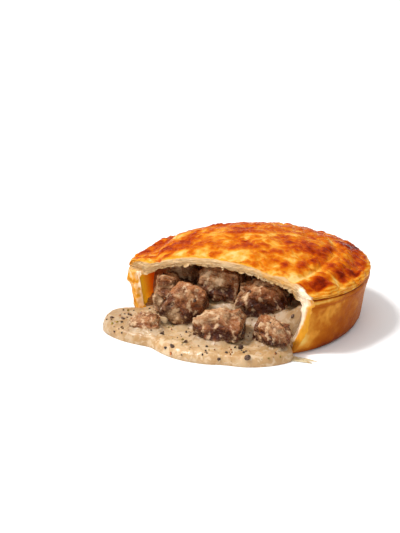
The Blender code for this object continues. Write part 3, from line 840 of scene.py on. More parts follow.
def lid_depth(p):
    """How deep a place lies below the lid's upper surface, as a share of the lid's thickness."""
    top = lid_top(math.hypot(p.x, p.y)) + dome_lean(p) + lid_fill(p)
    top += rim_lift(Vector((p.x, p.y, LIP_TOP + 0.002)))
    return (top - p.z) / LID_THICKNESS


def case_depth(p):
    """How deep a place lies inside the case's outer skin, as a share of the wall's thickness."""
    angle = angle_of(p)
    skin = wall_radius(p.z) + ends_spread(angle) + 0.4 * FOOT_SPREAD * bump(angle, *RIGHT_FOOT_AT)
    return (skin - math.hypot(p.x, p.y)) / WALL_THICKNESS


# Mottling of the baked skins: how much browner, width of its patches, and seed
LID_BROWN = 0.47
LID_MOTTLE = ((0.16, 0.013, 50.0), (0.36, 0.0062, 51.0), (0.14, 0.0024, 52.0))
LID_BROWNEST = 0.94
RIM_LAYERS = 0.09
CASE_BROWN = 0.40
CASE_MOTTLE = ((0.22, 0.014, 60.0), (0.12, 0.005, 61.0), (0.07, 0.002, 62.0))
LIP_BROWNER = 0.24
# Places where the lid is browner or paler, two of them painted shade on the dome's right side: x, y, radius
# and how much browner
SCORCHES_AND_PAINTED_SHADE = (
    (0.0465, -0.0182, 0.0040, 0.70),
    (0.0425, -0.0225, 0.0034, 0.20),
    (-0.0410, -0.0240, 0.0060, 0.12),
    (-0.0250, -0.0150, 0.0080, 0.24),
    (0.0500, -0.0050, 0.0025, 0.20),
    (0.0520, 0.0060, 0.0035, 0.14),
    (0.0470, 0.0150, 0.0045, 0.04),
    (0.0430, -0.0020, 0.0050, -0.12),
    (0.0350, 0.0350, 0.0060, 0.18),
    (0.0000, 0.0500, 0.0080, 0.18),
    (-0.0350, 0.0350, 0.0090, 0.18),
    # Painted shade on the dome's right side, which faces away from the key light
    (0.0300, 0.0050, 0.0060, 0.18),
    (0.0440, -0.0130, 0.0045, -0.26),
    (0.0490, -0.0110, 0.0030, -0.16),
    (0.0360, -0.0235, 0.0040, -0.20),
    (0.0180, -0.0150, 0.0060, 0.22),
    # Painted shade on the dome's right side, which faces away from the key light
    (0.0300, 0.0000, 0.0080, 0.20),
    (0.0250, -0.0210, 0.0040, -0.15),
    (0.0010, -0.0240, 0.0055, -0.24),
    (-0.0150, -0.0190, 0.0060, 0.10),
)


def lid_browning_and_painted_shade(p):
    """How brown the lid is at a place: its rim and bubbles most, its fold and the cut's edge least. Two of
    its spots paint shade on the dome's right side.
    """
    r = math.hypot(p.x, p.y)
    brown = LID_BROWN + sum(relief_at(mottle, p) for mottle in LID_MOTTLE)
    brown += 0.30 * (lid_puffs(p) - 0.55)
    brown += 0.09 * smooth(0.040, 0.050, r) + 0.06 * smooth(-0.02, 0.02, p.y)
    brown -= 0.15 * crease_at(p) * smooth(-0.4, 0.5, math.cos(math.radians(angle_of(p) - 10)))
    brown -= 0.20 * math.exp(-max(0.0, p.y - CUT_Y) / 0.005) * (1 - smooth(0.030, 0.042, p.x))
    brown = min(brown + spots(p, SCORCHES_AND_PAINTED_SHADE), LID_BROWNEST)
    height = p.z - rim_lift(p) - LIP_TOP
    wide = bump(angle_of(p), *PALE_RIM_AT)
    side = smooth(0.0528 - 0.0014 * wide, 0.0540 - 0.0012 * wide, r)
    layers = RIM_LAYERS * math.sin(math.pi * height / LAYER + 2.0 * grain(p, 0.006, 55.0))
    return brown + side * (min(0.28, 0.45 * brown + 0.06) + layers - brown)


def end_pores(p):
    """The pores of the case's -X end, 0 between them and 1 in them."""
    return smooth(0.15, 0.45, grain(p, 0.0022, 66.0))


def case_browning(p):
    """How brown the case is at a place: its foot and lip most, its upper wall least."""
    brown = CASE_BROWN + sum(relief_at(mottle, p) for mottle in CASE_MOTTLE)
    brown += 0.22 * (1 - smooth(0.0, 0.009, p.z)) + 0.12 * (1 - smooth(0.0, 0.003, p.z))
    lip = smooth(WALL_TOP - 0.001, WALL_TOP + 0.001, p.z) * (1 - smooth(LIP_TOP - 0.001, LIP_TOP, p.z))
    brown += LIP_BROWNER * lip
    height = p.z - rim_lift(p) - LIP_TOP
    brown += 0.50 * smooth(-0.0005, -0.0001, height) - 0.22 * bump(1000 * height, -1.3, 0.8)
    brown -= 0.18 * math.exp(-max(0.0, p.y - cut_depth(p.x, p.z)) / 0.0035)
    brown -= 0.25 * bump(angle_of(p), *PALE_FOOT_AT) * (1 - smooth(0.005, 0.012, p.z))
    brown -= (0.85 - 0.5 * end_pores(p)) * bump(angle_of(p), *PALE_END_AT) * smooth(0.002, 0.014, p.z)
    return brown


def case_toast(p):
    """How golden the case's crumb is where it is cut: pale at the top of the +X end, brown at its foot."""
    outer = 0.85 * (1 - smooth(0.20, 0.75, case_depth(p)))
    if p.x > 0:
        return outer + 0.62 * (1 - smooth(0.0005, 0.0125, p.z))
    inner = smooth(0.62, 0.90, case_depth(p)) * smooth(0.008, 0.016, p.z)
    return 0.60 + 0.65 * end_pores(p) - 0.86 * inner


def lid_toast(p):
    """How golden the lid's crumb is where it is cut: a thin line under the skin, more at the -X end."""
    line = 0.9 * (1 - smooth(0.02, 0.16, lid_depth(p)))
    right = 0.28 * smooth(0.008, 0.026, p.x)
    return 0.15 + line + right + 0.35 * smooth(0.036, 0.048, -p.x) - 1.2 * smooth(0.0375, 0.0425, p.x)


def paint_crust(obj, browning, depth, toast):
    """Stores what the crust materials read at each point: skin, crumb, inside and how the knife cut them."""
    mesh = obj.data
    deep = [depth(v.co) for v in mesh.vertices]
    store(mesh, "toast", [toast(v.co) for v in mesh.vertices])
    store(mesh, "inside", [smooth(0.70, 0.92, d) for d in deep])
    # How far behind the cut a point lies, which sets the inside's painted shade
    store(mesh, "behind", [smooth(0.003, 0.022, v.co.y - CUT_Y) for v in mesh.vertices])
    store(mesh, "cut", cut_share(mesh))
    store(mesh, "brown", [browning(v.co) for v in mesh.vertices])
    store(mesh, "depth", deep)
    mesh.set_sharp_from_angle(angle=math.radians(60))


def flake(bm, top, along, width, drop, seed):
    """Adds one loose flake of pastry that hangs from the lower edge of the cut lid."""
    made = bmesh.ops.create_grid(bm, x_segments=7, y_segments=5, size=1.0)
    for vertex in made["verts"]:
        side, down = vertex.co.x, (1 - vertex.co.y) / 2
        ragged = math.sqrt(max(0.0, 1 - side * side)) * (1 + 0.35 * grain((side, 0.0, seed), 0.45))
        place = top + along * (width * side * (1 - 0.25 * down)) - Vector((0, 0, drop * down * ragged))
        place.y += 0.0002 - 0.0004 * down * down + 0.0003 * grain((side, down, seed), 0.6, 4.0)
        vertex.co = place
    faces = list({face for vertex in made["verts"] for face in vertex.link_faces})
    for vertex in extruded(bm, faces):
        vertex.co.y += FLAKE_THICKNESS


def lid_flakes():
    """The loose flakes along the lower edge of the cut."""
    rng = random.Random(5)
    bm = bmesh.new()
    for _ in range(bpy.context.scene.pepper_pie_crust.flakes):
        x = rng.uniform(*FLAKE_X)
        slope = (cut_curve(x + 0.0005) - cut_curve(x - 0.0005)) / 0.001
        top = Vector((x, CUT_Y, cut_curve(x) - LID_THICKNESS * rng.uniform(*FLAKE_DEPTH)))
        along = Vector((1.0, 0.0, slope)).normalized()
        flake(bm, top, along, rng.uniform(*FLAKE_WIDTH), rng.uniform(*FLAKE_DROP), rng.random() * 50)
    return mesh_from(bm, "lid_flakes")


# --- Beef, sauce and pepper ------------------------------------------------------------------------------


def facets(seed):
    """Flat places where a chunk was cut or has split: the way each faces and how far out it lies."""
    rng = random.Random(seed)
    made = []
    for _ in range(BEEF_FACETS):
        way = Vector((rng.uniform(-1, 1), rng.uniform(-1, 1), rng.uniform(-0.4, 1))).normalized()
        made.append((way, rng.uniform(0.97, 1.08)))
    return made


def beef_place(cube, half, top_width, seed):
    """Where a point of the cube lands on the rounded, lumpy chunk, and the way it faces."""
    ball = cube.normalized() * BEEF_BALL
    soft = cube.lerp(ball, BEEF_ROUNDING) / (1 + (BEEF_BALL - 1) * BEEF_ROUNDING)
    for way, reach in facets(seed):
        soft -= way * max(0.0, soft.dot(way) - reach)
    wide = 1 + (top_width - 1) * (soft.z + 1) / 2
    place = Vector((soft.x * half.x * wide, soft.y * half.y * wide, soft.z * half.z))
    away = Vector((ball.x / half.x, ball.y / half.y, ball.z / half.z)).normalized()
    lumps = relief_at(BEEF_LUMPS, place, seed) + relief_at(BEEF_CRAGS, place, seed)
    return place + away * lumps, away


def torn_meat(place, seed):
    """Lumps, torn edges and short strands of braised meat, about -1 to 1."""
    bent = place + 0.0010 * noise.noise_vector(place / 0.005 + Vector((seed, 0, 0)))
    lumps = relief_at(MEAT_LUMPS, bent, seed)
    tears = 0.30 * (1 - abs(relief_at(MEAT_TEARS, bent, seed)))
    strands = relief_at(MEAT_STRANDS, (bent.x / 3.0, bent.y, bent.z), seed)
    return lumps + tears + strands + relief_at(MEAT_CRUMBS, bent, seed)


# Where most sauce clings to the chunks: x, y, z, radius and share. Two of them also paint light on chunks
# under the lid
CREAM_SPLASHES_AND_PAINTED_LIGHT = (
    (0.0030, -0.0460, 0.0150, 0.0045, 1.3),
    (-0.0020, -0.0490, 0.0110, 0.0030, 1.1),
    (-0.0080, -0.0230, 0.0250, 0.0040, 1.3),
    # Sauce and painted light: these two make chunks in the lid's shade look lit
    (-0.0020, -0.0245, 0.0230, 0.0035, 1.3),
    (-0.0260, -0.0165, 0.0235, 0.0050, 1.2),
    (0.0140, -0.0300, 0.0210, 0.0025, 1.2),
    (0.0070, -0.0455, 0.0165, 0.0030, 1.1),
    (0.0080, -0.0270, 0.0210, 0.0030, 1.0),
    (0.0100, -0.0280, 0.0150, 0.0035, 1.1),
    (-0.0290, -0.0330, 0.0120, 0.0045, 0.9),
    (-0.0140, -0.0420, 0.0100, 0.0040, 0.8),
    (0.0280, -0.0430, 0.0080, 0.0030, 1.1),
    (0.0380, -0.0400, 0.0120, 0.0030, 0.9),
)


def cream_share(world, facing, seed):
    """How likely sauce is to coat a place on a chunk: just above the sauce, and here and there on top, where
    two splashes also paint light.
    """
    above = world.z - sauce_level(world.x, world.y) + 0.0010 * grain(world, 0.003, seed)
    wet = 0.55 * (1 - smooth(0.0006, 0.0034, above))
    splashed = smooth(-0.1, 0.8, facing.z) * smooth(-0.35, 0.30, grain(world, 0.006, seed + 30.0))
    for x, y, z, radius, share in CREAM_SPLASHES_AND_PAINTED_LIGHT:
        away = (world - Vector((x, y, z))).length_squared / radius**2
        splashed = max(splashed, share * math.exp(-away) / SPLASH_SHARE)
    return max(wet, SPLASH_SHARE * splashed)


def beef_chunk(name, centre, size, turn, top_width, seed, material):
    """One chunk of braised beef in its place: torn strands of meat, with sauce clinging to it."""
    bm = bmesh.new()
    bmesh.ops.create_cube(bm, size=2.0)
    bmesh.ops.subdivide_edges(bm, edges=bm.edges, cuts=BEEF_CUTS, use_grid_fill=True)
    half = Vector(size) / 2
    to_world = Matrix.Translation(centre) @ Euler([math.radians(a) for a in turn]).to_matrix().to_4x4()
    paler = BEEF_TONE + BEEF_PALER.get(name, 0.0)
    creams, tones, grains = [], [], []
    for vertex in bm.verts:
        place, away = beef_place(vertex.co.copy(), half, top_width, seed)
        facing = to_world.to_3x3() @ away
        torn = torn_meat(place, seed)
        creams.append(cream_share(to_world @ place, facing, seed))
        patch = relief_at(TONE_PATCHES, place, seed)
        # Painted light and shade: lighter where the chunk faces up and where its torn relief stands out,
        # darker in its hollows
        tones.append(paler + PAINTED_LIGHT_ON_TOPS * facing.z + PAINTED_SHADE_IN_HOLLOWS * torn + patch)
        grains.append(place * 1000.0)
        vertex.co = to_world @ (place + away * BEEF_TORN * torn)
        vertex.co.z = max(vertex.co.z, BEEF_LOWEST)
    mesh = mesh_from(bm, name)
    store(mesh, "cream", creams)
    store(mesh, "tone_and_painted_light", tones)
    store_places(mesh, "strands", grains)
    return new_object(name + "_meat", mesh, material)


def sauce_profile():
    """(ring number, side) of the sauce, from its middle to its edge and back under, before it is spread."""
    top = [(float(i), 1.0) for i in range(SAUCE_RINGS + SAUCE_EDGE_RINGS + 1)]
    count = SAUCE_FLOOR_RINGS
    floor = [((SAUCE_RINGS + SAUCE_EDGE_RINGS) * (1 - i / count), 0.0) for i in range(count + 1)]
    return top + floor


def spread_sauce(ring, angle, top, beef_points):
    """Where a point of the sauce goes, by its ring, its direction from POOL_POLE and its side."""
    along = way_at(angle)
    reach = pool_reach(angle % 360)
    outside = reach is not None
    if not outside:
        reach = case_reach(angle, wall_radius(0.012) - 0.5 * WALL_THICKNESS)
    if not top:
        share = ring / (SAUCE_RINGS + SAUCE_EDGE_RINGS)
        place = POOL_POLE + along * (reach - (0.0001 if outside else 0.0016)) * share
        in_case = place.y > cut_depth(place.x, 0.0) and place.length < wall_radius(0.0)
        return Vector((*place, 0.5 * FLOOR_THICKNESS if in_case else 0.0))
    if ring <= SAUCE_RINGS:
        away = 1.0
        place = POOL_POLE + along * (reach - POOL_EDGE_WIDTH) * (ring / SAUCE_RINGS)
    else:
        away = max(0.0, 1 - (ring - SAUCE_RINGS) / SAUCE_EDGE_RINGS)
        away = away * away * 0.4 + away * 0.6
        place = POOL_POLE + along * (reach - POOL_EDGE_WIDTH * away)
    height = sauce_level(*place) + relief_at(SAUCE_LUMPS, (*place, 0.0))
    if outside and away < 1.0:
        height = max(0.0001, min(height, POOL_DEPTH + 0.002) * math.sqrt(1 - (1 - away) ** 2.2))
    if away == 1.0:
        nearest, _, gap = beef_points.find((*place, height))
        above = smooth(-0.0010, 0.0002, nearest.z - height)
        height += SAUCE_CLIMB * math.exp(-gap / SAUCE_CLIMB_WIDTH) * above
    return Vector((*place, height))


# Places where the sauce is darker: x, y, radius and how much
SAUCE_TANS = (
    (0.0380, -0.0470, 0.0080, 1.0),
    (0.0420, -0.0340, 0.0060, 0.8),
    (0.0390, -0.0290, 0.0060, 0.8),
    (-0.0380, -0.0500, 0.0090, 0.7),
    (0.0180, -0.0330, 0.0050, 0.5),
    (-0.0200, -0.0510, 0.0050, 0.4),
    (0.0300, -0.0500, 0.0070, 0.6),
)


def sauce_tan(p):
    """How much darker than its main colour the sauce is at a place."""
    return 0.10 * smooth(0.006, 0.014, p.z) + spots(p, SAUCE_TANS)


def sauce_shade_and_roughness(p, gap):
    """How much shade is painted on the sauce at a place, and how much rougher it is there: under the lid,
    close to a chunk and far to the left.
    """
    inside = 0.75 * smooth(-0.044, -0.032, p.y) * smooth(0.004, 0.008, p.z)
    return max(inside, 0.6 * smooth(0.030, 0.040, -p.x), 0.9 * math.exp(-gap / 0.0030))


def sauce_smear():
    """A thin film of sauce on the table beside the cut's foot, dragged out in streaks."""
    bm = bmesh.new()
    bmesh.ops.create_grid(bm, x_segments=60, y_segments=24, size=1.0)
    for vertex in bm.verts:
        along, across = (vertex.co.x + 1) / 2, vertex.co.y
        streak = 0.85 + 0.70 * grain((0.0, across, 0.0), 0.34, 3.0) + 0.12 * grain((along, across, 0.0), 0.2)
        middle = SMEAR_START.lerp(SMEAR_END, min(1.06, along * streak))
        width = SMEAR_WIDTH * (1 - 0.30 * along) * (1 + 0.2 * grain((along, 0.0, 0.0), 0.2, 5.0))
        film = (1 - abs(across)) ** 0.5 * (1 - along) ** 0.4
        place = middle + Vector((0.3 * width * across, width * across))
        vertex.co = Vector((*place, SMEAR_DEPTH * film + SMEAR_EDGE))
    for vertex in extruded(bm, list(bm.faces)):
        vertex.co.z = 0.0
    return mesh_from(bm, "sauce_smear")


def points_tree(objects):
    """A search tree of all points of some pieces."""
    points = [v.co for obj in objects for v in obj.data.vertices]
    tree = kdtree.KDTree(len(points))
    for i, point in enumerate(points):
        tree.insert(point, i)
    tree.balance()
    return tree


def peppercorn(bm, place, diameter, tint, rng):
    """Adds one cracked corn to the bmesh: a small ball knocked out of round, flat where it split."""
    ball = bmesh.ops.create_icosphere(bm, subdivisions=2 if diameter > ROUND_CORN else 1, radius=diameter / 2)
    split = Vector((rng.uniform(-1, 1), rng.uniform(-1, 1), rng.uniform(-1, 1))).normalized()
    flat = rng.uniform(0.15, 0.75)
    stretch = Vector((rng.uniform(0.7, 1.2), rng.uniform(0.6, 1.0), rng.uniform(0.5, 0.9)))
    turn = Euler([rng.uniform(0, 6.3) for _ in range(3)]).to_matrix()
    layer = bm.verts.layers.float_color["tint"]
    shade = rng.uniform(0.75, 1.25)
    for vertex in ball["verts"]:
        point = vertex.co
        beyond = point.dot(split) - flat * diameter / 2
        if beyond > 0:
            point -= split * beyond
        point *= 1 + 0.16 * grain(point + place, 0.35 * diameter, 3.0)
        point = Vector(a * b for a, b in zip(point, stretch))
        vertex.co = turn @ point + place
        vertex[layer] = (*(c * shade for c in tint), 1.0)


# --- Materials -------------------------------------------------------------------------------------------


class Recipe:
    """Builds one material: each method adds a node and returns what comes out of it."""

    def __init__(self, name):
        self.material = bpy.data.materials.new(name)
        self.material.use_nodes = True
        self.tree = self.material.node_tree
        self.shader = self.tree.nodes["Principled BSDF"]
        self.object_place = self.tree.nodes.new("ShaderNodeTexCoord").outputs["Object"]

    def feed(self, value, socket):
        """Links what another node gives, or sets the plain value."""
        if isinstance(value, bpy.types.NodeSocket):
            self.tree.links.new(value, socket)
        else:
            socket.default_value = value

    def attribute(self, name, output="Fac"):
        """What is stored on the mesh under that name."""
        node = self.tree.nodes.new("ShaderNodeAttribute")
        node.attribute_name = name
        return node.outputs[output]

    def sum(self, a, b, operation="ADD"):
        node = self.tree.nodes.new("ShaderNodeMath")
        node.operation = operation
        self.feed(a, node.inputs[0])
        self.feed(b, node.inputs[1])
        return node.outputs[0]

    def times(self, a, b):
        return self.sum(a, b, "MULTIPLY")

    def swing(self, value, size):
        """Noise from 0 to 1 turned into one from -size / 2 to size / 2."""
        return self.times(self.sum(value, -0.5), size)

    def stretched(self, place, scale):
        """The place with its axes scaled one by one."""
        node = self.tree.nodes.new("ShaderNodeVectorMath")
        node.operation = "MULTIPLY"
        self.feed(place, node.inputs[0])
        node.inputs[1].default_value = scale
        return node.outputs[0]

    def joined(self, x, y, z):
        node = self.tree.nodes.new("ShaderNodeCombineXYZ")
        for value, socket in zip((x, y, z), node.inputs):
            self.feed(value, socket)
        return node.outputs[0]

    def split(self, place):
        node = self.tree.nodes.new("ShaderNodeSeparateXYZ")
        self.feed(place, node.inputs[0])
        return node.outputs

    def noise(self, place, scale, detail=2.0, roughness=0.5, distortion=0.0):
        node = self.tree.nodes.new("ShaderNodeTexNoise")
        self.feed(place, node.inputs["Vector"])
        node.inputs["Scale"].default_value = scale
        node.inputs["Detail"].default_value = detail
        node.inputs["Roughness"].default_value = roughness
        node.inputs["Distortion"].default_value = distortion
        return node.outputs["Fac"]

    def cells(self, place, scale):
        """Distance to the middle of the nearest of many small cells."""
        node = self.tree.nodes.new("ShaderNodeTexVoronoi")
        self.feed(place, node.inputs["Vector"])
        node.inputs["Scale"].default_value = scale
        return node.outputs["Distance"]

    def between(self, value, low, high, start=0.0, end=1.0):
        """The value eased from low to high onto start to end."""
        node = self.tree.nodes.new("ShaderNodeMapRange")
        node.interpolation_type = "SMOOTHSTEP"
        self.feed(value, node.inputs["Value"])
        for socket, number in zip(("From Min", "From Max", "To Min", "To Max"), (low, high, start, end)):
            node.inputs[socket].default_value = number
        return node.outputs["Result"]

    def ramp(self, factor, stops):
        """A colour ramp through (position, colour) stops."""
        node = self.tree.nodes.new("ShaderNodeValToRGB")
        elements = node.color_ramp.elements
        while len(elements) < len(stops):
            elements.new(0.5)
        for element, (position, colour) in zip(elements, stops):
            element.position = position
            element.color = (*colour, 1.0)
        self.feed(factor, node.inputs["Fac"])
        return node.outputs["Color"]

    def mix(self, factor, a, b, blend="MIX"):
        node = self.tree.nodes.new("ShaderNodeMix")
        node.data_type = "RGBA"
        node.blend_type = blend
        self.feed(factor, node.inputs["Factor"])
        for value, socket in ((a, node.inputs[6]), (b, node.inputs[7])):
            self.feed((*value, 1.0) if isinstance(value, tuple) else value, socket)
        return node.outputs[2]

    def bump(self, height, distance):
        """Gives the surface fine relief of that depth."""
        node = self.tree.nodes.new("ShaderNodeBump")
        node.inputs["Distance"].default_value = distance
        self.feed(height, node.inputs["Height"])
        self.tree.links.new(node.outputs["Normal"], self.shader.inputs["Normal"])

    def surface(self, colour, roughness, **plain):
        """Finishes the material. Each plain value goes straight onto the shader's socket of that name."""
        self.feed(colour, self.shader.inputs["Base Color"])
        self.feed(roughness, self.shader.inputs["Roughness"])
        for name, value in plain.items():
            self.shader.inputs[name.replace("_", " ")].default_value = value
        return self.material


STAGE_LIGHT = 1.35


def srgb(red, green, blue):
    """A colour given as it looks on a screen, 0 to 255, as the linear one that shaders take."""
    channels = (c / 255 for c in (red, green, blue))
    return tuple(c / 12.92 if c <= 0.04045 else ((c + 0.055) / 1.055) ** 2.4 for c in channels)


def tinted(colour, red, green, blue):
    """The colour with each channel made that many times as strong, and none above 1."""
    return tuple(min(1.0, c * f) for c, f in zip(colour, (red, green, blue)))


def as_lit(red, green, blue):
    """The linear colour that looks like this on the stage, where a level surface gets STAGE_LIGHT."""
    return tuple(c / STAGE_LIGHT for c in srgb(red, green, blue))


# Crumb where the knife went, from pale to toasted, and the inside, with painted light by the opening and
# painted shade further back
CASE_CRUMB = (as_lit(296, 272, 240), as_lit(282, 238, 186))
LID_CRUMB = (as_lit(243, 208, 160), as_lit(220, 174, 116))
CRUMB_PALE = as_lit(298, 280, 248)
CRUMB_GOLD = as_lit(256, 176, 50)
CRUMB_LINE = as_lit(222, 134, 40)
INSIDE_PAINTED_LIGHT = as_lit(285, 205, 40)
INSIDE_PAINTED_SHADE = as_lit(236, 78, 0)
CASE_SHINE = 0.04
CASE_PORES = 0.00022
LID_SHINE = 0.03
LID_PORES = 0.00030


def crust_material(name, skin_stops, crumb_colours, gloss, shine, bump_depth):
    """Baked pastry: a skin coloured by its browning, pale layers where the knife went, an inside with painted
    light by the opening and painted shade further back.
    """
    mix = Recipe(name)
    place = mix.object_place
    speckle = mix.noise(place, 420.0, 3.0, 0.6)
    blotch = mix.noise(place, 210.0, 4.0, 0.62, 0.4)
    fine = mix.noise(place, 1300.0, 2.0, 0.6)
    brown = mix.sum(mix.attribute("brown"), mix.sum(mix.swing(speckle, 0.18), mix.swing(blotch, 0.34)))
    skin = mix.ramp(brown, skin_stops)
    axes = mix.split(place)
    depth = mix.attribute("depth")
    layered = mix.joined(mix.times(axes[0], 150.0), mix.times(depth, 4.5), mix.times(axes[1], 150.0))
    streak = mix.noise(layered, 1.0, 3.0, 0.55, 0.3)
    crumb = mix.mix(mix.between(streak, 0.30, 0.68), crumb_colours[1], crumb_colours[0])
    toast = mix.sum(mix.attribute("toast"), mix.swing(mix.noise(place, 330.0, 3.0), 0.9))
    crumb = mix.mix(mix.between(toast, -0.9, 0.1, 1.0, 0.0), crumb, CRUMB_PALE)
    crumb = mix.mix(mix.between(toast, 0.1, 0.9), crumb, CRUMB_GOLD)
    crumb = mix.mix(mix.between(toast, 0.9, 1.5), crumb, CRUMB_LINE)
    line = mix.between(streak, 0.345, 0.385, 1.0, 0.0)
    crumb = mix.mix(mix.times(line, 0.14), crumb, CRUMB_LINE)
    # Painted light and shade: the inside is bright by the opening and darker further behind the cut
    inside_lit_and_shaded = mix.mix(mix.attribute("behind"), INSIDE_PAINTED_LIGHT, INSIDE_PAINTED_SHADE)
    inside_lit_and_shaded = mix.mix(mix.between(blotch, 0.5, 0.8, 0.0, 0.35), inside_lit_and_shaded, CRUMB_LINE)
    skin = mix.mix(mix.attribute("inside"), skin, inside_lit_and_shaded)
    cut = mix.attribute("cut")
    colour = mix.mix(cut, skin, crumb)
    skin_height = mix.sum(mix.times(fine, 0.35), mix.noise(place, 520.0, 3.0, 0.6))
    cut_height = mix.times(mix.sum(streak, mix.times(fine, 0.3)), 1.6)
    height = mix.mix(cut, skin_height, cut_height)
    mix.bump(height, bump_depth)
    rough = mix.sum(mix.between(fine, 0.3, 0.7, gloss - 0.06, gloss + 0.10), mix.times(cut, 0.30))
    return mix.surface(
        colour,
        rough,
        Specular_IOR_Level=shine,
        Subsurface_Weight=0.08,
        Subsurface_Radius=(1.0, 0.45, 0.2),
        Subsurface_Scale=0.0015,
    )


# Skins: browning and colour
LID_SKIN = (
    (0.00, as_lit(256, 214, 132)),
    (0.20, as_lit(248, 174, 62)),
    (0.38, as_lit(230, 126, 10)),
    (0.54, as_lit(208, 90, 0)),
    (0.70, as_lit(180, 58, 0)),
    (0.86, as_lit(138, 34, 0)),
    (1.00, as_lit(96, 20, 0)),
)
CASE_SKIN = (
    (0.00, as_lit(254, 208, 110)),
    (0.20, as_lit(238, 160, 56)),
    (0.40, as_lit(196, 106, 16)),
    (0.60, as_lit(174, 82, 6)),
    (0.80, as_lit(142, 54, 2)),
    (1.00, as_lit(94, 30, 2)),
)


# The smear's colour, and what the sauce's colour is multiplied by where shade is painted on it
THIN_SAUCE = as_lit(250, 228, 184)
SAUCE_SHADE = (0.62, 0.60, 0.61)


def sauce_material(name, colour):
    """Creamy sauce: paler and darker swirls, fat lumps and dust of pepper, with painted shade where it lies
    in shade, under a wet gloss.
    """
    mix = Recipe(name)
    place = mix.object_place
    swirl = mix.noise(place, 130.0, 4.0, 0.6, 1.2)
    lumps = mix.noise(place, 330.0, 3.0, 0.6, 0.6)
    tan = tinted(colour, 0.78, 0.66, 0.50)
    pale = tinted(colour, 1.06, 1.14, 1.30)
    shade = mix.sum(mix.attribute("tan"), mix.swing(mix.noise(place, 75.0, 3.0), 1.6))
    base = mix.mix(mix.between(swirl, 0.32, 0.62), tan, colour)
    base = mix.mix(mix.between(shade, 0.15, 1.0, 0.0, 0.85), base, tan)
    base = mix.mix(mix.between(lumps, 0.52, 0.62, 0.0, 0.85), base, pale)
    # Painted shade: darker under the lid, close to the chunks and far to the left
    base = mix.mix(mix.attribute("shade_and_roughness"), base, mix.mix(1.0, base, SAUCE_SHADE, "MULTIPLY"))
    dust = mix.between(mix.cells(place, 300.0), 0.10, 0.17, 1.0, 0.0)
    sparse = mix.between(mix.noise(place, 210.0, 1.0), 0.50, 0.60)
    base = mix.mix(mix.times(mix.times(dust, sparse), 0.85), base, srgb(96, 58, 30))
    ripple = mix.sum(mix.noise(place, 240.0, 3.0, 0.5), mix.times(mix.noise(place, 800.0, 2.0), 0.12))
    mix.bump(ripple, 0.00060)
    rough = mix.sum(mix.between(lumps, 0.3, 0.7, 0.18, 0.32), mix.times(mix.attribute("shade_and_roughness"), 0.22))
    return mix.surface(
        base,
        rough,
        Specular_IOR_Level=0.32,
        Subsurface_Weight=0.20,
        Subsurface_Radius=(1.0, 0.6, 0.35),
        Subsurface_Scale=0.002,
    )


def beef_material(colour, sauce_colour):
    """Braised beef: torn meat with painted light on its tops and painted shade on its dark brown sides and in
    its hollows, wet, with sauce where it clings.
    """
    mix = Recipe("braised_beef_meat")
    strands = mix.attribute("strands", "Vector")
    along = mix.stretched(strands, (0.30, 1.0, 1.0))
    fibre = mix.noise(along, 0.62, 4.0, 0.65, 0.5)
    fine = mix.noise(mix.stretched(strands, (0.55, 1.0, 1.0)), 1.7, 3.0, 0.65)
    patch = mix.noise(strands, 0.20, 3.0, 0.6, 0.4)
    # The meat in painted shade, in half shade, in its own colour and in painted light, picked by the stored
    # tone
    shadow = tinted(colour, 0.20, 0.09, 0.03)
    dark = tinted(colour, 0.48, 0.33, 0.17)
    light = tinted(colour, 1.65, 1.85, 2.10)
    value = mix.sum(mix.swing(fibre, 1.0), mix.swing(fine, 0.45))
    value = mix.sum(mix.attribute("tone_and_painted_light"), value)
    meat = mix.ramp(value, ((0.10, shadow), (0.34, dark), (0.58, colour), (0.90, light)))
    rusty = tinted(colour, 1.15, 0.90, 0.55)
    meat = mix.mix(mix.between(patch, 0.48, 0.64, 0.0, 0.45), meat, rusty)
    film = mix.sum(mix.noise(strands, 0.30, 4.0, 0.65, 0.6), mix.swing(fine, 0.35))
    coat = mix.sum(mix.times(mix.attribute("cream"), 0.50), film)
    thin = tinted(sauce_colour, 0.88, 0.75, 0.64)
    cream = tinted(sauce_colour, 1.15, 1.13, 1.20)
    base = mix.mix(mix.between(coat, 0.50, 0.90, 0.0, 0.55), meat, thin)
    base = mix.mix(mix.between(coat, 0.80, 1.05, 0.0, 0.90), base, cream)
    drops = mix.sum(mix.noise(mix.stretched(strands, (1.0, 1.0, 0.8)), 0.45, 2.0, 0.5), mix.times(coat, 0.15))
    base = mix.mix(mix.between(drops, 0.63, 0.79, 0.0, 0.80), base, cream)
    mix.bump(mix.sum(fibre, mix.sum(mix.times(fine, 0.35), mix.times(coat, 0.7))), 0.0009)
    rough = mix.between(fine, 0.3, 0.7, 0.20, 0.34)
    return mix.surface(
        base,
        rough,
        Specular_IOR_Level=0.26,
        Subsurface_Weight=0.05,
        Subsurface_Radius=(1.0, 0.4, 0.3),
        Subsurface_Scale=0.001,
    )


def pepper_material():
    """Cracked pepper: black, brown and pale inside, matte and wrinkled, with lighter wrinkle tops that are
    partly painted highlights.
    """
    mix = Recipe("cracked_pepper")
    wrinkle = mix.noise(mix.object_place, 1700.0, 3.0, 0.6)
    # Wrinkle tops lighter: partly pale wrinkles, partly painted highlights
    stops = ((0.36, (0.35, 0.32, 0.30)), (0.52, (1.0, 1.0, 1.0)), (0.66, (2.4, 2.3, 2.2)))
    shade = mix.ramp(wrinkle, stops)
    base = mix.mix(1.0, mix.attribute("tint", "Color"), shade, "MULTIPLY")
    mix.bump(wrinkle, 0.0004)
    return mix.surface(base, mix.between(wrinkle, 0.3, 0.7, 0.40, 0.65), Specular_IOR_Level=0.25)


# --- Camera and stage ------------------------------------------------------------------------------------


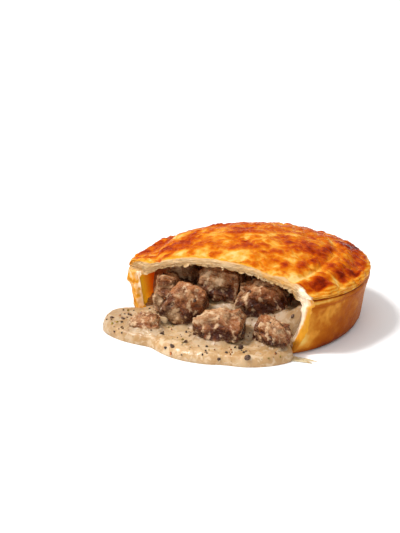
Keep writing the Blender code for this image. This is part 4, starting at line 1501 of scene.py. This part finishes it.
def camera_place():
    """The camera's place and the way it looks."""
    level = math.cos(CAMERA_ELEVATION)
    across, back = math.sin(CAMERA_AZIMUTH) * level, -math.cos(CAMERA_AZIMUTH) * level
    away = Vector((across, back, math.sin(CAMERA_ELEVATION)))
    return CAMERA_TARGET + away * CAMERA_DISTANCE, -away


def surface_tree(obj):
    """A search tree of a piece's faces."""
    mesh = obj.data
    return BVHTree.FromPolygons([v.co for v in mesh.vertices], [p.vertices for p in mesh.polygons])


# --- Settings --------------------------------------------------------------------------------------------


class PepperPieCrust(PropertyGroup):
    """Sizes and colours of the pastry."""

    puff_height: FloatProperty(
        name="Bubble height", description="How high the lid's bubbles stand", default=0.0013, unit="LENGTH"
    )
    flakes: IntProperty(
        name="Flakes", description="How many loose flakes hang from the cut lid", default=34, min=0
    )
    lid_gloss: FloatProperty(
        name="Lid roughness", description="Roughness of the egg-washed lid", default=0.22, subtype="FACTOR"
    )
    case_gloss: FloatProperty(
        name="Case roughness", description="Roughness of the baked case", default=0.42, subtype="FACTOR"
    )


class PepperPieFilling(PropertyGroup):
    """Colours and amounts of the filling."""

    sauce_colour: FloatVectorProperty(
        name="Sauce", description="Colour of the creamy sauce", default=as_lit(234, 197, 150), subtype="COLOR"
    )
    beef_colour: FloatVectorProperty(
        name="Beef", description="Colour of the braised beef", default=as_lit(166, 102, 58), subtype="COLOR"
    )
    flecks: IntProperty(
        name="Pepper flecks", description="How many small flecks lie in the pool", default=170, min=0
    )
    beef_flecks: IntProperty(
        name="Flecks on the beef", description="How many small flecks lie on the beef", default=70, min=0
    )


class PepperPieStage(PropertyGroup):
    """Light and floor."""

    horizon: FloatProperty(name="Side light", description="Light from all round at the level", default=0.25)
    zenith: FloatProperty(name="Top light", description="Light from straight overhead", default=0.97)
    key: FloatProperty(
        name="Key light", description="Strength of the light from above and the left", default=2.0
    )
    front_fill: FloatProperty(name="Front fill", description="Light from the front", default=0.40)
    spark: FloatProperty(
        name="Highlight lamp",
        description="Power of the small lamp that makes wet highlights",
        default=1.3,
        unit="POWER",
    )
    snoot: FloatProperty(
        name="Snoot",
        description="Power of the narrow lamp on the inside of the wall",
        default=10.0,
        unit="POWER",
    )
    floor_colour: FloatVectorProperty(
        name="Floor", description="Colour of the floor", default=(0.95, 0.95, 0.95), subtype="COLOR"
    )


# --- Operators -------------------------------------------------------------------------------------------


class PEPPER_PIE_OT_stage(Operator):
    """Set the camera, the floor and the studio light"""

    bl_idname = "pepper_pie.stage"
    bl_label = "Set the Stage"

    def execute(self, context):
        settings = context.scene.pepper_pie_stage
        place, forward = camera_place()
        camera = bpy.data.cameras.new("camera")
        camera.sensor_width = SENSOR
        camera.lens = FOCAL_PIXELS * SENSOR / IMAGE_HEIGHT
        camera.clip_start = 0.01
        stand = bpy.data.objects.new("camera", camera)
        context.scene.collection.objects.link(stand)
        stand.matrix_world = Matrix.Translation(place) @ forward.to_track_quat("-Z", "Y").to_matrix().to_4x4()
        context.scene.camera = stand

        bm = bmesh.new()
        bmesh.ops.create_grid(bm, x_segments=1, y_segments=1, size=FLOOR_REACH)
        paint = Recipe("studio_floor").surface((*settings.floor_colour, 1.0), 0.6, Specular_IOR_Level=0.2)
        floor = new_object("floor", mesh_from(bm, "floor"), paint)
        floor.location.z = -FLOOR_BELOW

        context.scene.world = self.sky(settings.horizon, settings.zenith)
        self.sun(context, "key", settings.key, KEY_SPREAD, KEY_PLACE)
        self.sun(context, "front_fill", settings.front_fill, FILL_SPREAD, FILL_PLACE)
        spark = bpy.data.lights.new("spark", "AREA")
        spark.energy = settings.spark
        spark.size = SPARK_SIZE
        self.aim(context, spark, SPARK_PLACE)
        snoot = bpy.data.lights.new("snoot", "SPOT")
        snoot.energy = settings.snoot
        snoot.spot_size = math.radians(SNOOT_SPREAD)
        snoot.spot_blend = 1.0
        snoot.shadow_soft_size = SNOOT_SIZE
        self.aim(context, snoot, SNOOT_PLACE, SNOOT_AIM)
        context.scene.view_settings.view_transform = "Standard"
        return {"FINISHED"}

    @staticmethod
    def sky(horizon, zenith):
        """A studio that is brighter overhead than round the sides."""
        world = bpy.data.worlds.new("studio")
        world.use_nodes = True
        nodes = world.node_tree.nodes
        links = world.node_tree.links
        height = nodes.new("ShaderNodeSeparateXYZ")
        links.new(nodes.new("ShaderNodeTexCoord").outputs["Generated"], height.inputs[0])
        rise = nodes.new("ShaderNodeMapRange")
        links.new(height.outputs["Z"], rise.inputs["Value"])
        rise.inputs["To Min"].default_value = horizon
        rise.inputs["To Max"].default_value = zenith
        nodes["Background"].inputs["Color"].default_value = (1.0, 1.0, 1.0, 1.0)
        links.new(rise.outputs["Result"], nodes["Background"].inputs["Strength"])
        return world

    def sun(self, context, name, strength, spread, place):
        """A far soft light that shines from a place towards the pie."""
        light = bpy.data.lights.new(name, "SUN")
        light.energy = strength
        light.angle = math.radians(spread)
        self.aim(context, light, place)

    @staticmethod
    def aim(context, light, place, at=(0.0, 0.0, 0.0)):
        """Hangs the light at a place and points it."""
        lamp = bpy.data.objects.new(light.name, light)
        context.scene.collection.objects.link(lamp)
        lamp.location = place
        lamp.rotation_euler = (Vector(at) - Vector(place)).to_track_quat("-Z", "Y").to_euler()


class PEPPER_PIE_OT_case(Operator):
    """Bake the pastry case and cut it open"""

    bl_idname = "pepper_pie.case"
    bl_label = "Bake the Case"

    def execute(self, context):
        bm = turned(case_profile())
        moved_by(bm, case_shape)
        bm.faces.layers.int.new("from_knife")
        settings = context.scene.pepper_pie_crust
        look = (CASE_SKIN, CASE_CRUMB, settings.case_gloss, CASE_SHINE, CASE_PORES)
        crust = crust_material("baked_case_crust", *look)
        obj = new_object("case_crust", mesh_from(bm, "case_crust"), crust)
        carve(obj, knife())
        paint_crust(obj, case_browning, case_depth, case_toast)
        finish_piece(obj, "baked_case", "pastry_case")
        lit = bpy.data.collections.new("lit_by_snoot")
        lit.objects.link(obj)
        linking = bpy.data.objects["snoot"].light_linking
        linking.receiver_collection = linking.blocker_collection = lit
        return {"FINISHED"}


class PEPPER_PIE_OT_lid(Operator):
    """Bake the domed puff lid and cut it open"""

    bl_idname = "pepper_pie.lid"
    bl_label = "Bake the Lid"

    def execute(self, context):
        bm = turned(lid_profile())
        moved_by(bm, lid_shape)
        bm.faces.layers.int.new("from_knife")
        settings = context.scene.pepper_pie_crust
        look = (LID_SKIN, LID_CRUMB, settings.lid_gloss, LID_SHINE, LID_PORES)
        crust = crust_material("glazed_lid_crust", *look)
        obj = new_object("lid_crust", mesh_from(bm, "lid_crust"), crust)
        carve(obj, knife())
        paint_crust(obj, lid_browning_and_painted_shade, lid_depth, lid_toast)
        finish_piece(obj, "glazed_lid", "pastry_lid")
        flakes = new_object("lid_flakes", lid_flakes(), crust)
        count = len(flakes.data.vertices)
        for name, value in FLAKE_LOOK.items():
            store(flakes.data, name, [value] * count)
        finish_piece(flakes, "glazed_lid")
        return {"FINISHED"}


class PEPPER_PIE_OT_beef(Operator):
    """Lay the chunks of braised beef"""

    bl_idname = "pepper_pie.beef"
    bl_label = "Lay the Beef"

    def execute(self, context):
        settings = context.scene.pepper_pie_filling
        meat = beef_material(tuple(settings.beef_colour), tuple(settings.sauce_colour))
        for name, centre, size, turn, top_width, seed in BEEF:
            obj = beef_chunk(name, centre, size, turn, top_width, seed, meat)
            finish_piece(obj, "braised_beef", name)
        return {"FINISHED"}


def beef_pieces():
    """The chunks that have been laid."""
    return [bpy.data.objects[row[0] + "_meat"] for row in BEEF]


class PEPPER_PIE_OT_sauce(Operator):
    """Pour the creamy pepper sauce round the beef"""

    bl_idname = "pepper_pie.sauce"
    bl_label = "Pour the Sauce"

    def execute(self, context):
        settings = context.scene.pepper_pie_filling
        bm = turned(sauce_profile(), SAUCE_SPOKES)
        beef_points = points_tree(beef_pieces())
        for vertex in bm.verts:
            ring = math.hypot(vertex.co.x, vertex.co.y)
            vertex.co = spread_sauce(ring, angle_of(vertex.co), vertex.co.z > 0.5, beef_points)
        bmesh.ops.remove_doubles(bm, verts=bm.verts, dist=MERGE_DISTANCE)
        sauce = sauce_material("creamy_pepper_sauce", tuple(settings.sauce_colour))
        obj = new_object("sauce", mesh_from(bm, "sauce"), sauce)
        store(obj.data, "tan", [sauce_tan(v.co) for v in obj.data.vertices])
        store(obj.data, "shade_and_roughness", [sauce_shade_and_roughness(v.co, beef_points.find(v.co)[2]) for v in obj.data.vertices])
        finish_piece(obj, "pepper_sauce", "pepper_sauce")
        film = sauce_material("thin_sauce_film", THIN_SAUCE)
        obj = new_object("sauce_smear", sauce_smear(), film)
        for name in ("tan", "shade_and_roughness"):
            store(obj.data, name, [0.0] * len(obj.data.vertices))
        finish_piece(obj, "pepper_sauce")
        return {"FINISHED"}


class PEPPER_PIE_OT_pepper(Operator):
    """Scatter cracked pepper over the sauce and the beef"""

    bl_idname = "pepper_pie.pepper"
    bl_label = "Scatter the Pepper"

    def execute(self, context):
        settings = context.scene.pepper_pie_filling
        rng = random.Random(7)
        sauce = surface_tree(bpy.data.objects["sauce"])
        beef = [surface_tree(obj) for obj in beef_pieces()]
        bm = bmesh.new()
        bm.verts.layers.float_color.new("tint")
        for near, diameter, tint in PEPPER:
            found = [tree.find_nearest(Vector(near)) for tree in (sauce, *beef)]
            place, facing = min(found, key=lambda hit: hit[3])[:2]
            peppercorn(bm, place + facing * diameter * (0.5 - PEPPER_SUNK), diameter, PEPPER_TINTS[tint], rng)
        self.scatter(bm, rng, settings.flecks, [sauce], beef, POOL_FLECKS)
        self.scatter(bm, rng, settings.beef_flecks, beef, [], BEEF_FLECKS)
        obj = new_object("cracked_pepper", mesh_from(bm, "cracked_pepper"), pepper_material())
        finish_piece(obj, "pepper_sauce")
        return {"FINISHED"}

    @staticmethod
    def scatter(bm, rng, count, on, under, sizes):
        """Drops corns from above onto some surfaces, leaving out places that others cover."""
        down = Vector((0, 0, -1))
        made = tries = 0
        while made < count and tries < FLECK_TRIES * max(1, count):
            tries += 1
            start = Vector((rng.uniform(*FLECK_X), rng.uniform(*FLECK_Y), FLECK_DROP_HEIGHT))
            diameter = sizes[0] + (sizes[1] - sizes[0]) * rng.random() ** 1.7
            hits = [tree.ray_cast(start, down) for tree in on]
            hits = [hit for hit in hits if hit[0] is not None]
            covered = any(tree.ray_cast(start, down)[0] is not None for tree in under)
            if not hits or covered:
                continue
            place, facing = max(hits, key=lambda hit: hit[0].z)[:2]
            if place.z < FLECK_LOWEST:
                continue
            peppercorn(bm, place + facing * 0.12 * diameter, diameter, rng.choice(PEPPER_TINTS), rng)
            made += 1


class PEPPER_PIE_PT_panel(Panel):
    """Sidebar panel with the settings and the steps"""

    bl_label = "Cut Pepper Steak Pie"
    bl_idname = "PEPPER_PIE_PT_panel"
    bl_space_type = "VIEW_3D"
    bl_region_type = "UI"
    bl_category = "Pie"

    def draw(self, context):
        for group in ("crust", "filling", "stage"):
            box = self.layout.box()
            settings = getattr(context.scene, "pepper_pie_" + group)
            for name in settings.bl_rna.properties.keys():
                if name not in ("rna_type", "name"):
                    box.prop(settings, name)
        for step in STEPS:
            self.layout.operator(step.bl_idname)


GROUPS = {"crust": PepperPieCrust, "filling": PepperPieFilling, "stage": PepperPieStage}
STEPS = (
    PEPPER_PIE_OT_stage,
    PEPPER_PIE_OT_case,
    PEPPER_PIE_OT_lid,
    PEPPER_PIE_OT_beef,
    PEPPER_PIE_OT_sauce,
    PEPPER_PIE_OT_pepper,
)


def register():
    for made in (*GROUPS.values(), *STEPS, PEPPER_PIE_PT_panel):
        bpy.utils.register_class(made)
    for name, group in GROUPS.items():
        setattr(bpy.types.Scene, "pepper_pie_" + name, PointerProperty(type=group))


def unregister():
    for name in GROUPS:
        delattr(bpy.types.Scene, "pepper_pie_" + name)
    for made in (PEPPER_PIE_PT_panel, *reversed(STEPS), *GROUPS.values()):
        bpy.utils.unregister_class(made)


def main():
    noise.seed_set(BEND_SEED)
    register()
    for step in STEPS:
        family, name = step.bl_idname.split(".")
        getattr(getattr(bpy.ops, family), name)()


if __name__ == "__main__":
    main()
